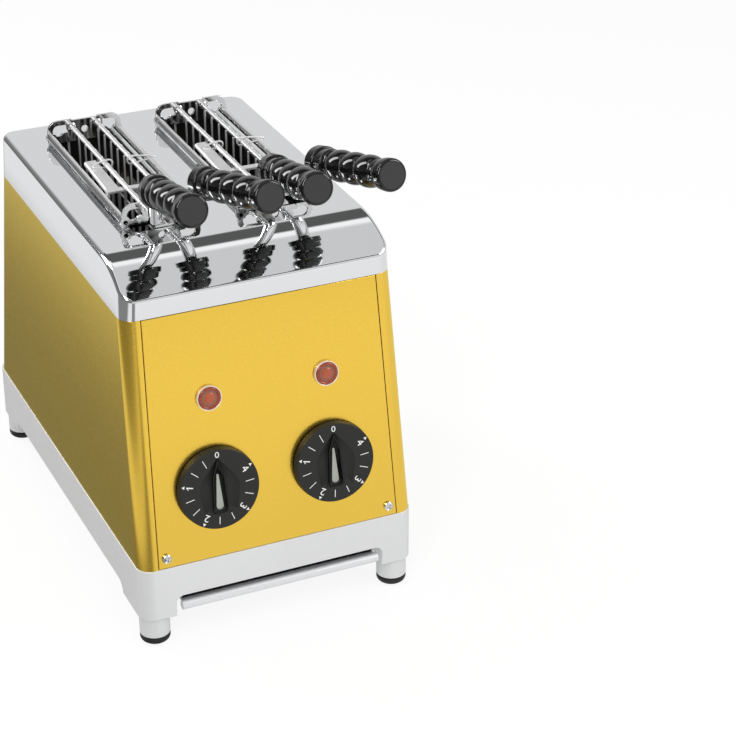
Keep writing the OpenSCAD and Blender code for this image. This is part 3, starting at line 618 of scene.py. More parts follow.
@dataclass
class Panel:
    """The sloped front: x across, y up the slope, z out of it."""

    seam: float = 13.0
    gap: float = 0.4
    sheet: float = 1.5

    def __post_init__(self) -> None:
        """Takes the slope from the body's and the cap's boxes."""
        low, high = span("body_wrap")
        cap_low, cap_high = span("top_cap")
        self.height = high.z - low.z
        self.lean = math.atan2(cap_low.y - low.y, self.height)
        self.length = self.height / math.cos(self.lean)
        self.foot = high.x - self.seam
        self.head = cap_high.x - self.seam
        self.place = Matrix.Translation((0, low.y, low.z)) @ Matrix.Rotation(math.pi / 2 - self.lean, 4, "X")

    def at(self, x: float, y: float, z: float = 0.0) -> Matrix:
        """Gives the place of a point on the panel, with the panel's axes."""
        return self.place @ Matrix.Translation((x, y, z))

    def at_point(self, point: Sequence[float]) -> Matrix:
        """Gives the panel's axes at a point of the frame, in metres."""
        turn = self.place.to_3x3().to_4x4()
        return Matrix.Translation(Vector(point) / MM) @ turn


@dataclass
class Housing:
    """The body, cap, base, feet, tray, lamps and screws."""

    panel: Panel
    corner: float = 11.0
    corner_steps: int = 14
    spare: float = 1.0
    lip: float = 14.0
    brow: float = 46.2
    brow_steps: int = 28
    draw: float = 2.0
    cap_sheet: float = 1.2
    cap_edge: float = 3.6
    edge_steps: int = 8
    slot_x: float = SLOT_X
    slot_w: float = 46.0
    slot_front: float = -61.5
    slot_back: float = 126.5
    slot_corner: float = 4.0
    slot_cut: float = 8.0
    sheet_soft: float = 0.35
    panel_soft: float = 0.45
    base_soft: float = 0.9
    pull_soft: float = 0.6
    gland_soft: float = 0.5
    foot_d: float = 22.0
    foot_round: float = 4.0
    foot_groove: float = 0.7
    foot_levels: Triple = (1.6, 1.2, 0.5)
    bush_r: float = 5.1
    barrel_r: float = 7.1
    hook_x: float = 11.8
    hook_y: float = 121.5
    hook_rise: float = 3.0
    hook_len: float = 60.0
    hook_bend: float = 2.0
    hook_r: float = 0.9
    lamp_ring: float = 0.7
    lamp_moat: float = 5.9
    lamp_core: float = 4.2
    lamp_rim: float = 2.0
    lamp_face: float = 2.1
    lamp_step: float = 2.35
    lamp_dome: float = 9.0
    screw_head: float = 3.5
    screw_shank: float = 1.8
    screw_len: float = 6.0
    screw_up: float = 7.8
    cross_half: float = 0.42
    cross_reach: float = 2.0
    cross_floor: float = 0.9
    cross_turns: Point = (20.0, 110.0)

    def build(self) -> None:
        """Makes every piece of the housing."""
        self.top_cap()
        self.body_wrap()
        self.front_panel()
        self.base()
        self.feet()
        self.tray()
        self.lamps()
        self.screws()
        self.gland()
        self.guard_hooks()

    def top_cap(self) -> None:
        """Pressed cap: a curved brow over the front, rounded edges and two slots."""
        low, high = span("top_cap")
        drop = high.z - low.z - self.lip
        radius = (self.brow ** 2 + drop ** 2) / (2 * drop)
        sweep = math.degrees(math.asin(self.brow / radius))
        start = low.y + self.brow
        brow = arc((start, high.z - radius), radius, 90, 90 + sweep, self.brow_steps)
        side = [(high.y, low.z), (high.y, high.z), *brow, (low.y, low.z)]
        width = high.x - low.x + 2 * self.spare
        profile = Shape.prism(side, width)
        profile.move(Matrix(((0, 0, 1, -width / 2), (1, 0, 0, 0), (0, 1, 0, 0), (0, 0, 0, 1))))
        inset = Vector((self.cap_edge, self.cap_edge, -self.spare))
        plan = round_block(low + inset, high - inset, self.corner - self.cap_edge, self.corner_steps)
        cap = plan.cut(profile.tidy(), Cut.COMMON)
        cap.drop_faces(lambda face: face.normal.z < 0.5)
        self._roll_rim(cap, low, high, lambda y: math.asin(max(0.0, min(1.0, (start - y) / radius))))
        for vert in cap.bm.verts:
            rise = (vert.co.z - low.z) / (high.z - low.z)
            vert.co.x *= 1.0 - self.draw / high.x * rise
        cap.wall(self.cap_sheet)
        for slot in Side:
            middle = slot.value * self.slot_x
            near = Vector((middle - self.slot_w / 2, self.slot_front, high.z - self.slot_cut))
            far = Vector((middle + self.slot_w / 2, self.slot_back, high.z + self.slot_cut))
            cap.cut(round_block(near, far, self.slot_corner, 6))
        add_piece("polished_cap", cap, MIRROR, "housing", ["top_cap"], crease=32)

    def _roll_rim(self, cap: Shape, low: Vector, high: Vector, slope: Callable[[float], float]) -> None:
        """Rolls the rim of the cap's top over a rounded edge and down to the seam.

        Args:
            cap: The top skin, inset by the edge's radius.
            low: Lowest corner of the cap.
            high: Highest corner of the cap.
            slope: Gives the brow's angle at a depth.
        """
        rim = [edge for edge in cap.bm.edges if edge.is_boundary]
        starts = {vert: vert.co.copy() for edge in rim for vert in edge.verts}
        for step in (*range(1, self.edge_steps + 1), None):
            places = {vert.co.copy().freeze(): point for vert, point in starts.items()}
            made = bmesh.ops.extrude_edge_only(cap.bm, edges=rim)["geom"]
            starts = {item: places[item.co.copy().freeze()] for item in made
                      if isinstance(item, bmesh.types.BMVert)}
            rim = [item for item in made if isinstance(item, bmesh.types.BMEdge)]
            for vert, point in starts.items():
                vert.co = self._rolled(point, low, high, slope, step)
        cap.tidy()

    def _rolled(self, point: Vector, low: Vector, high: Vector, slope: Callable[[float], float],
                step: int | None) -> Vector:
        """Places a rim point after a step round the rounded edge, or at the seam after the last one.

        Args:
            point: The rim point on the inset top skin.
            low: Lowest corner of the cap.
            high: Highest corner of the cap.
            slope: Gives the brow's angle at a depth.
            step: Number of the step, or None for the seam.

        Returns:
            The point's new place.
        """
        corner, radius = self.corner, self.cap_edge
        core = Vector((min(max(point.x, low.x + corner), high.x - corner),
                       min(max(point.y, low.y + corner), high.y - corner), point.z))
        out = (point - core).normalized()
        begin = math.atan(math.tan(slope(point.y)) * max(0.0, -out.y))
        share = 1.0 if step is None else step / self.edge_steps
        angle = begin + (math.pi / 2 - begin) * share
        rolled = point + out * radius * math.sin(angle)
        fall = radius * (math.sin(begin) * math.tan(begin) + math.cos(begin) - math.cos(angle))
        rolled.z = low.z if step is None else point.z - fall
        return rolled

    def body_wrap(self) -> None:
        """Folded body sheet: three tapered walls and the strips beside the front panel."""
        low, high = span("body_wrap")
        cap_low, cap_high = span("top_cap")
        outline = [(low.x, low.y), (high.x, low.y), (high.x, high.y), (low.x, high.y)]
        wrap = Shape.prism(outline, high.z - low.z).shift(z=low.z)
        for vert in wrap.bm.verts:
            if vert.co.z > low.z + self.spare:
                vert.co.x = cap_high.x if vert.co.x > 0 else cap_low.x
                vert.co.y = cap_high.y if vert.co.y > 0 else cap_low.y
        wrap.round(self.corner, self.corner_steps, upright)
        wrap.drop_faces(lambda face: abs(face.normal.z) > 0.9)
        for side in Side:
            self._split_front(wrap, side.value)
        wrap.drop_faces(lambda face: face.normal.y < -0.9 and abs(face.calc_center_median().x) < self.spare)
        wrap.wall(self.panel.sheet)
        wrap.round(self.sheet_soft, 2, sharper_than(70))
        add_piece("gold_body", wrap, GOLD, "housing", ["body_wrap"])

    def _split_front(self, wrap: Shape, side: int) -> None:
        """Splits the front wall along one seam.

        Args:
            wrap: The body's open skin.
            side: Sign of the side that the seam is on.
        """
        panel = self.panel
        foot = panel.place @ Vector((side * panel.foot, 0, 0))
        head = panel.place @ Vector((side * panel.head, panel.length, 0))
        outward = panel.place.to_3x3() @ Vector((0, 0, 1))
        across = (head - foot).cross(outward).normalized()
        front = [face for face in wrap.bm.faces if face.normal.y < -0.9]
        geom = front + [e for f in front for e in f.edges] + [v for f in front for v in f.verts]
        bmesh.ops.bisect_plane(wrap.bm, geom=list(dict.fromkeys(geom)), plane_co=foot, plane_no=across)

    def front_panel(self) -> None:
        """Gold front panel with the holes for the dials and lamps."""
        panel = self.panel
        gap = panel.gap
        outline = [(-panel.foot + gap, gap), (panel.foot - gap, gap), (panel.head - gap, panel.length - gap),
                   (-panel.head + gap, panel.length - gap)]
        plate = Shape.prism(outline, panel.sheet).shift(z=-panel.sheet)
        plate.round(self.panel_soft, 3, above(-0.1))
        reach = Vector((0, 0, 2 * panel.sheet))
        for side in Side:
            for word, radius in (("knob", self.bush_r), ("lamp_bezel", self.barrel_r)):
                low, high = span(f"{word}_{side.word}")
                spot = panel.place.inverted() @ ((low + high) / 2)
                spot.z = 0.0
                plate.cut(Shape.rod(spot - reach, spot + reach, radius, 40))
        add_piece("gold_front", plate.move(panel.place), GOLD, "housing", ["front_panel"])

    def base(self) -> None:
        """Cast base with softened edges."""
        base = Shape.node("base_frame")
        base.round(self.base_soft, 3, sharper_than(50))
        add_piece("cast_base", base, CAST, "housing", ["base_frame"], crease=34)

    def feet(self) -> None:
        """Four rubber feet."""
        low, high = span("rubber_feet")
        radius = self.foot_d / 2
        height = high.z - low.z
        curve = arc((radius - self.foot_round, self.foot_round), self.foot_round, -90, 0, 8)
        groove = radius - self.foot_groove
        below, bottom, top = (height - level for level in self.foot_levels)
        profile = [(0, 0), *curve, (radius, below), (groove, bottom), (groove, top), (radius - 0.3, height),
                   (0, height)]
        feet = Shape()
        for mount in frame["record"]["mounts"]:
            feet.add(Shape.lathe(profile, 40).move(Matrix.Translation(Vector(mount["pos_m"]) / MM)))
        add_piece("feet", feet, RUBBER, "housing", ["rubber_feet"])

    def tray(self) -> None:
        """Crumb tray with its rolled pull."""
        tray = Shape.node("crumb_tray").add(Shape.node("tray_rim"))
        add_piece("tray_sheet", tray, SHEET, "tray", ["crumb_tray", "tray_rim"])
        pull = Shape.node("tray_pull").round(self.pull_soft, 3, sharper_than(60))
        add_piece("rolled_pull", pull, ROLLED, "tray", ["tray_pull"])

    def lamps(self) -> None:
        """Pilot lamps: a thin bright ring round a lens with a sunk moat and an orange core."""
        for side in Side:
            low, high = span(f"lamp_bezel_{side.word}")
            outer = (high.x - low.x) / 2
            lens = outer - self.lamp_ring
            middle = sum(span(f"lamp_lens_{side.word}"), Vector()) / 2
            spot = self.panel.place.inverted() @ middle
            place = self.panel.at(spot.x, spot.y)
            rim, face, step, wide = self.lamp_rim, self.lamp_face, self.lamp_step, self.lamp_moat
            ring = [(lens, 0.0), (lens, rim), *arc((lens + 0.5, rim), 0.5, 180, 60, 5),
                    *arc((outer - 0.6, rim - 0.6), 0.6, 60, 0, 4), (outer, 0.0), (lens, 0.0)]
            edge = arc((lens - 1.2, 1.7), 1.1, 0, 90, 5)
            flange = [(0, 0.1), (lens - 0.05, 0.1), (lens - 0.05, 1.7), *edge, (wide, face), (0, face)]
            moat = [(0, face), (wide, face), (wide - 0.2, step), (0, step)]
            core = [(0, step), (self.lamp_core, step), *arc((0, -5.6), self.lamp_dome, 63, 90, 6)]
            for word, profile, finish, nodes in (
                    ("ring", ring, BEZEL, [f"lamp_bezel_{side.word}"]),
                    ("lens", flange, LENS, [f"lamp_lens_{side.word}"]),
                    ("moat", moat, MOAT, []),
                    ("core", core, CORE, [])):
                lamp = Shape.lathe(profile, 48).move(place)
                add_piece(f"lamp_{word}_{side.word}", lamp, finish, "housing", nodes)

    def screws(self) -> None:
        """Two pan-head screws with cross recesses."""
        low, high = span("panel_screws")
        head, shank, end = self.screw_head, self.screw_shank, -self.screw_len
        spot = self.panel.place.inverted() @ Vector((high.x - head, low.y, low.z))
        shoulder, dome = arc((head - 1.2, 0.9), 1.2, 0, 62, 5), arc((0, -5.4), 7.6, 68, 90, 4)
        profile = [(0, end), (shank, end), (shank, 0.05), (head, 0.05), *shoulder, *dome]
        reach, half = self.cross_reach, self.cross_half
        cross = [(-reach, -half), (reach, -half), (reach, half), (-reach, half)]
        screws = Shape()
        for side in Side:
            screw = Shape.lathe(profile, 40)
            for turn in self.cross_turns:
                slot = Shape.prism(cross, 3).shift(z=self.cross_floor)
                screw.cut(slot.move(Matrix.Rotation(math.radians(turn), 4, "Z")))
            screws.add(screw.move(self.panel.at(side.value * spot.x, self.screw_up)))
        add_piece("cross_screws", screws, BRIGHT, "housing", ["panel_screws"])

    def guard_hooks(self) -> None:
        """Bent wire end of the bread guard at the rear of each slot."""
        hooks = Shape()
        top = span("top_cap")[1].z + self.hook_rise
        bend = self.hook_bend
        for side in Side:
            x = side.value * self.slot_x - self.hook_x
            bent = arc((x + bend, top - bend), bend, 180, 90, 6)
            path = [(x, top - self.hook_len), *bent, (x + 2 * bend, top)]
            hooks.add(Shape.wire([Vector((px, self.hook_y, pz)) for px, pz in path], self.hook_r))
        add_piece("guard_hooks", hooks, ROLLED, "housing")

    def gland(self) -> None:
        """Cable gland with softened nuts."""
        gland = Shape.node("cable_gland")
        gland.round(self.gland_soft, 2, sharper_than(45))
        add_piece("cable_inlet", gland, GLOSS, "housing", ["cable_gland"])


@dataclass
class Dial:
    """One timer dial: a disc with a finger bowl, the hollow grip in it, its insert, figures and ticks."""

    side: Side
    panel: Panel
    radius: float = 30.0
    thick: float = 6.0
    gap: float = 1.0
    draft: float = 0.5
    edge: float = 0.6
    bowl_r: float = 15.0
    bowl_depth: float = 3.0
    bowl_slope: float = 8.0
    bowl_corner: float = 11.0
    bowl_round: float = 1.0
    bowl_soft: float = 0.9
    bowl_tail: float = 18.5
    grip_tip: float = 22.5
    grip_tail: float = 17.5
    grip_half: float = 5.5
    grip_taper: float = 1.1
    grip_shoulder: float = 9.0
    grip_heel: float = 2.5
    grip_wall: float = 0.7
    grip_nose: float = 3.0
    brim: float = 0.2
    insert_tip: float = 10.7
    insert_tail: float = 16.0
    insert_half: float = 2.7
    insert_point: float = 0.8
    insert_thick: float = 0.5
    figure_tall: float = 5.2
    figure_r: float = 22.8
    figure_widen: float = 1.12
    flag: float = 1.7
    flag_wide: float = 0.7
    zero_tall: float = 4.3
    zero_r: float = 26.0
    figure_step: float = 75.0
    tick_step: float = 25.0
    tick_in: float = 19.5
    tick_out: float = 26.0
    tick_half: float = 0.25
    pointer_in: float = 26.7
    pointer_out: float = 28.8
    pointer_half: float = 1.25
    mark_thick: float = 0.12

    def build(self) -> None:
        """Makes the dial's pieces."""
        word = self.side.word
        pivot = joint(f"{word}_knob_turn")["pos_m"]
        place = self.panel.at_point(pivot) @ Matrix.Translation((0, 0, self.gap))
        body = f"{word}_knob"
        add_piece(f"dial_{word}", self.disc().move(place), KNOB, body, [f"knob_{word}"], crease=30)
        # The grip's darker finish is painted shade round the insert.
        add_piece(f"dial_grip_{word}", self.grip().move(place), PAINTED_SHADE_GRIP, body)
        add_piece(f"dial_insert_{word}", self.insert().move(place), INSERT, body, [f"knob_insert_{word}"])
        add_piece(f"dial_marks_{word}", self.marks().move(place), MARK, body)

    @property
    def floor(self) -> float:
        """Height of the bowl's floor above the disc's back."""
        return self.thick - self.bowl_depth

    def _bowl_level(self, depth: float) -> list[Vector]:
        """Points round the bowl at one level: round, drawn out to the grip's point and squared at its tail.

        Args:
            depth: Share of the bowl's depth, from 0 at the face to 1 at the floor.

        Returns:
            The points at that level, drawn in so that the bowl's side curves into its floor.
        """
        inset = self.bowl_slope * (1 - math.sqrt(1 - depth)) if depth < 1 else self.bowl_slope
        small = self.bowl_round
        rings = [((0.0, 0.0), self.bowl_r - inset, 48), ((0.0, self.grip_tip - inset), small, 12)]
        for side in Side:
            corner = (side.value * (self.bowl_corner - inset / 2), small - self.bowl_tail + inset / 2)
            rings.append((corner, small, 12))
        level = self.thick - self.bowl_depth * depth
        return [Vector((x, y, level)) for middle, radius, steps in rings
                for x, y in arc(middle, radius, 0, 360, steps)[1:]]

    def disc(self) -> Shape:
        """Turned disc with the bowl sunk in it.

        Returns:
            The disc in the dial's own axes.
        """
        r, t, edge = self.radius, self.thick, self.edge
        rim = arc((r - self.draft - edge, t - edge), edge, 4, 90, 6)
        profile = [(0, 0), (r - edge, 0), (r, edge), *rim, (0, t)]
        levels = [point for depth in (0.0, 0.35, 0.65, 0.88, 1.0) for point in self._bowl_level(depth)]
        rise = [Vector((point.x, point.y, t + 0.05)) for point in self._bowl_level(0.0)]
        disc = Shape.lathe(profile, 96).cut(Shape.hull(levels + rise))
        sharp, high = sharper_than(12), above(t - 0.01)
        return disc.round(self.bowl_soft, 4, lambda brim: sharp(brim) and high(brim))

    def _grip_outline(self, wall: float, nose: float) -> list[Point]:
        """Lists the grip's corners: a blade with its point towards the zero and a square tail.

        Args:
            wall: Distance that the sides are drawn in.
            nose: Distance that the point is drawn in.

        Returns:
            The corner points.
        """
        half = self.grip_half - wall
        waist = half - self.grip_taper
        heel = self.grip_heel - self.grip_tail
        tail = wall - self.grip_tail
        return [(0, self.grip_tip - nose), (-waist, self.grip_shoulder), (-half, heel), (-waist, tail),
                (waist, tail), (half, heel), (waist, self.grip_shoulder)]

    def grip(self) -> Shape:
        """Hollow grip that stands in the bowl, level with the disc's face.

        Returns:
            The grip in the dial's own axes.
        """
        grip = Shape.prism(self._grip_outline(0, 0), self.bowl_depth + 0.4).shift(z=self.floor - 0.5)
        grip.round(0.5, 3, upright)
        hollow = Shape.prism(self._grip_outline(self.grip_wall, self.grip_nose), self.thick)
        grip.cut(hollow.round(0.4, 3, upright).shift(z=self.floor))
        return grip.round(self.brim, 2, above(self.thick - 0.11))

    def insert(self) -> Shape:
        """Pale teardrop on the floor of the grip's hollow.

        Returns:
            The insert in the dial's own axes.
        """
        half, point = self.insert_half, self.insert_point
        outline = [*arc((0, half - self.insert_tail), half, 180, 360, 16),
                   *arc((0, self.insert_tip - point), point, 0, 180, 8)]
        insert = Shape.prism(outline, self.insert_thick).shift(z=self.floor)
        return insert.round(self.brim, 2, above(self.floor + self.insert_thick - 0.1))

    def marks(self) -> Shape:
        """Figures 0 to 4 round the rim, a pointer by each but the first, and ticks between them.

        Returns:
            The marks in the dial's own axes.
        """
        marks = Shape()
        half = self.pointer_half
        for figure in range(5):
            angle = figure * self.figure_step
            tall, out = (self.figure_tall, self.figure_r) if figure else (self.zero_tall, self.zero_r)
            mark = Shape.text(str(figure), tall, self.mark_thick, self.figure_widen)
            marks.add(mark.move(self._at_rim(angle, out)))
            if figure == 1:
                marks.add(self._flag().move(self._at_rim(angle, out, self.mark_thick / -2)))
            if figure:
                point = self.pointer_out - self.pointer_in
                pointer = Shape.prism([(-half, 0), (half, 0), (0, point)], self.mark_thick)
                marks.add(pointer.move(self._at_rim(angle, self.pointer_in, self.mark_thick / -2)))
            if figure < 4:
                marks.add(*(self._tick(angle + step * self.tick_step) for step in (1, 2)))
        return marks

    def _flag(self) -> Shape:
        """Slanted stroke at the head of the figure 1."""
        top, reach, wide = self.figure_tall / 2, self.flag, self.flag_wide
        return Shape.prism([(0, top), (-reach, top - reach), (-reach, top - reach - wide), (0, top - wide)],
                           self.mark_thick)

    def _at_rim(self, angle: float, out: float, rise: float = 0.0) -> Matrix:
        """Place on the disc's face at an angle from the zero and a distance from the middle."""
        turn = Matrix.Rotation(math.radians(angle), 4, "Z")
        return turn @ Matrix.Translation((0, out, self.thick + rise))

    def _tick(self, angle: float) -> Shape:
        """One tick, shorter where the bowl's tail is.

        Args:
            angle: Angle from the zero in degrees.

        Returns:
            The tick on the disc's face.
        """
        inner = self.tick_in if abs(angle - 180) > 35 else self.bowl_tail + 2
        half, length = self.tick_half, self.tick_out - inner
        line = Shape.prism([(-half, 0), (half, 0), (half, length), (-half, length)], self.mark_thick)
        return line.move(self._at_rim(angle, inner, self.mark_thick / -2))


@dataclass
class Tong:
    """One lift-out tong: a fixed frame with two swinging grids, arms and handles."""

    side: Side
    slot_x: float = SLOT_X
    rod_r: float = 1.8
    rail_wall: float = 0.9
    rail_edge: float = 0.3
    wires: int = 11
    wire_pitch: float = 15.0
    wire_r: float = 0.9
    wire_bend: float = 2.2
    drop_wire_r: float = 0.75
    hook_wire_r: float = 0.22
    hook_r: float = 1.88
    drop_in: float = 2.4
    stay_lap: float = 0.5
    stay_levels: Point = (38.0, 78.0)
    clip_index: float = 5.25
    roll_r: float = 2.2
    plate_len: float = 55.0
    plate_near: Point = (-23.2, 9.3)
    plate_far: Point = (-22.4, 10.5)
    plate_clear: float = 3.2
    plate_strip: float = 9.0
    clip_r: float = 0.75
    clip_loop: float = 2.4
    clip_short: Triple = (8.5, 1.4, 1.9)
    clip_long: Triple = (17.0, 0.7, 0.6)
    collar_out: float = 3.3
    collar_len: float = 1.6
    grid_depth: float = 130.0
    ledge: float = 3.4
    handle_x: float = 17.2
    handle_y: float = -92.5
    handle_z: float = 43.0
    handle_tilt: float = 15.0
    handle_splay: float = 5.4
    handle_len: float = 104.0
    collar_r: float = 11.8
    bead_r: float = 11.2
    valley_r: float = 8.7
    beads: int = 3
    bead_from: float = 24.0
    neck_len: float = 20.0
    end_band: float = 3.0
    end_round: float = 2.0

    def __post_init__(self) -> None:
        """Takes the levels from the frame."""
        self.name = f"{self.side.word}_tong"
        self.top = span("top_cap")[1].z
        self.origin = Matrix.Translation((self.side.value * self.slot_x, 0, self.top))

    def build(self) -> None:
        """Makes the frame and both halves."""
        self.brackets()
        self.rails()
        self.cross_bar()
        for half in Side:
            self.grid(half)
            self.arm(half)
            self.handle(half)

    def node(self, word: str) -> str:
        """Name of one of the tong's nodes."""
        return f"{self.name}_{word}"

    def brackets(self) -> None:
        """Stamped end brackets with softened edges."""
        for end in ("front", "rear"):
            plate = Shape.node(self.node(f"{end}_bracket"))
            plate.round(0.35, 2, sharper_than(55))
            if end == "rear":
                plate.add(*(self._collar(half) for half in Side))
            add_piece(self.node(f"{end}_stamping"), plate, BRIGHT, self.name, [self.node(f"{end}_bracket")])

    def _collar(self, half: Side) -> Shape:
        """Flared collar in front of the rear bracket, round one rod.

        Args:
            half: The half of the tong.

        Returns:
            The collar in its place.
        """
        pivot = self.pivot(half)
        inner, outer, length = self.rod_r + 0.1, self.collar_out, self.collar_len
        lip = arc((outer - 1.0, length - 0.4), 0.4, 0, 90, 4)
        ring = [(inner, 0), (outer, 0), *lip, (inner, length), (inner, 0)]
        back = span(self.node("rear_bracket"))[0].y
        return Shape.lathe(ring, 32).move(along_y(Vector((pivot.x, back, pivot.z))))

    def pivot(self, half: Side) -> Vector:
        """Gives a point on the axis of one half's rod."""
        return Vector(joint(f"{self.name}_{half.word}_swing")["pos_m"]) / MM

    def rails(self) -> None:
        """Two tube rails with open ends."""
        low, high = span(self.node("rails"))
        radius = (high.z - low.z) / 2
        bore = radius - self.rail_wall
        level = (low.z + high.z) / 2
        length, edge = high.y - low.y, self.rail_edge
        ring = [(bore, 0), (radius - edge, 0), (radius, edge), (radius, length - edge),
                (radius - edge, length), (bore, length), (bore, 0)]
        rails = Shape()
        for x in (low.x + radius, high.x - radius):
            rails.add(Shape.lathe(ring, 32).move(along_y(Vector((x, high.y, level)))))
        add_piece(self.node("tubes"), rails, BRIGHT, self.name, [self.node("rails")])

    def cross_bar(self) -> None:
        """Bridge between the rails, with the catch plate whose outer edge is rolled down."""
        bar = Shape.node(self.node("cross_bar"))
        bar.round(0.3, 2, sharper_than(50))
        far = span(self.node("cross_bar"))[1].y
        near = far - self.plate_len + self.plate_clear
        ends = [Vector((x + self.roll_r, y, z - self.roll_r))
                for y, (x, z) in ((near, self.plate_near), (far, self.plate_far))]
        past, wide = far + 1, self.plate_strip
        strip = [(ends[0].x - wide, near), (ends[0].x, near), (ends[1].x, past), (ends[1].x - wide, past)]
        bar.cut(Shape.prism(strip, 30).move(self.origin))
        bar.add(Shape.rod(*ends, self.roll_r, 24).move(self.origin))
        add_piece(self.node("bridge"), bar, SATIN, self.name, [self.node("cross_bar")])

    def half_body(self, half: Side) -> str:
        """Name of the body of one half."""
        return f"{self.name}_{half.word}_half"

    def in_half(self, half: Side) -> Matrix:
        """Frame of one half: x outwards from the slot's middle, z up from the flat top."""
        return self.origin @ Matrix.Scale(half.value, 4, (1, 0, 0))

    def grid(self, half: Side) -> None:
        """Pivot rod with its hanging wires, stays and clip.

        Args:
            half: The half of the tong.
        """
        pivot = self.pivot(half)
        x = abs(pivot.x - self.side.value * self.slot_x)
        z = pivot.z - self.top
        node = self.node(f"{half.word}_grid")
        low, high = span(node)
        grid = Shape.rod(Vector((x, low.y, z)), Vector((x, high.y, z)), self.rod_r, 24)
        middle = sum(corner.y for corner in span(self.node("rails"))) / 2
        first = middle - (self.wires - 1) * self.wire_pitch / 2
        last = first + (self.wires - 1) * self.wire_pitch
        foot = z - self.grid_depth
        inner = x - self.drop_in
        for index in range(self.wires):
            grid.add(self._hanging_wire(x, first + index * self.wire_pitch, z))
        for level in self.stay_levels:
            stay = inner + self.wire_r + self.stay_lap
            grid.add(Shape.rod(Vector((stay, first - 2, z - level)), Vector((stay, last + 2, z - level)),
                               self.wire_r - 0.1, 12))
        ends = [Vector((inner - self.ledge, y, foot)) for y in (first - 2, last + 2)]
        grid.add(Shape.rod(*ends, self.wire_r, 12))
        grid.add(self._clip(half, x, z, first + self.clip_index * self.wire_pitch))
        grid.move(self.in_half(half))
        add_piece(self.node(f"{half.word}_wires"), grid, SATIN, self.half_body(half), [node])

    def _hanging_wire(self, x: float, y: float, z: float) -> Shape:
        """One wire: its hook over the rod, the straight drop and the foot that turns in.

        Args:
            x: Distance of the rod from the slot's middle.
            y: Place along the rod.
            z: Height of the rod above the flat top.

        Returns:
            The wire in the half's axes.
        """
        inner, foot, bend = x - self.drop_in, z - self.grid_depth, self.wire_bend
        hook = arc((x, z), self.hook_r, -70, 180, 16)
        turn = arc((inner - bend, foot + bend), bend, 0, -90, 4)
        drop = [(inner, z - 0.8), *turn, (inner - self.ledge, foot)]
        wire = Shape.wire([Vector((px, y, pz)) for px, pz in hook], self.hook_wire_r, 1)
        return wire.add(Shape.wire([Vector((px, y, pz)) for px, pz in drop], self.drop_wire_r, 1))

    def _clip(self, half: Side, x: float, z: float, y: float) -> Shape:
        """Wire loop round the rod: short on the left half, and drawn out to the rail on the right one.

        Args:
            half: The half of the tong.
            x: Distance of the rod from the slot's middle.
            z: Height of the rod above the flat top.
            y: Place along the rod.

        Returns:
            The loop in the half's axes.
        """
        reach, end, back = self.clip_short if half is Side.LEFT else self.clip_long
        loop = self.clip_loop + self.clip_r
        inner, outer = arc((x - back, z), loop, 90, 270, 10), arc((x + reach, z), end, -90, 90, 6)
        path = [*inner, *outer, (x - back, z + loop)]
        return Shape.wire([Vector((px, y, pz)) for px, pz in path], self.clip_r)

    def on_handle(self, half: Side) -> Matrix:
        """Frame at a handle's foot, with z along the handle.

        Args:
            half: The half of the tong.

        Returns:
            The handle's frame.
        """
        foot = Matrix.Translation((self.handle_x, self.handle_y, self.handle_z))
        splay = Matrix.Rotation(math.radians(self.handle_splay - 90), 4, "Z")
        tilt = Matrix.Rotation(math.radians(90 - self.handle_tilt), 4, "Y")
        return self.in_half(half) @ foot @ splay @ tilt

    def arm(self, half: Side) -> None:
        """Arm from the rod's end to the handle, with a dome nut.

        Args:
            half: The half of the tong.
        """
        node = self.node(f"{half.word}_arm")
        arm = Shape.node(node)
        arm.round(0.5, 2, sharper_than(50))
        add_piece(self.node(f"{half.word}_strap"), arm, BRIGHT, self.half_body(half), [node])

    def handle(self, half: Side) -> None:
        """Turned handle: collar, step, three beads, a neck and a flat end.

        Args:
            half: The half of the tong.
        """
        length, collar, bead, valley = self.handle_len, self.collar_r, self.bead_r, self.valley_r
        profile = [(0, 0), (collar - 2, 0), *arc((collar - 1.5, 1.5), 1.5, -90, 0, 5),
                   *arc((collar - 1.2, 9.8), 1.2, 0, 90, 5), (collar - 1.3, 11.0),
                   *arc((collar - 2.2, 19.9), 1.0, 0, 90, 4), (valley, 22.4)]
        neck, edge, rise = length - self.neck_len, self.end_round, bead - valley
        pitch = (neck - self.bead_from) / self.beads
        for index in range(self.beads):
            start = self.bead_from + index * pitch
            profile += [(valley + rise * math.sin(math.pi * i / 14) ** 0.8, start + pitch * i / 14)
                        for i in range(14)]
        flare = self.neck_len - edge - self.end_band
        profile += [(valley + rise * (1 - math.cos(math.pi * i / 12)) / 2, neck + flare * i / 12)
                    for i in range(13)]
        profile += [*arc((bead - edge, length - edge), edge, 0, 90, 8), (0, length)]
        place = self.on_handle(half)
        body = self.half_body(half)
        add_piece(self.node(f"{half.word}_grip"), Shape.lathe(profile, 64).move(place), GLOSS, body,
                  [self.node(f"{half.word}_handle")])
        flat, under, over = bead - edge, length - 0.4, length + 0.05
        disc = [(0, under), (flat, under), (flat, over), (0, over)]
        add_piece(self.node(f"{half.word}_grip_end"), Shape.lathe(disc, 48).move(place), DISC, body)


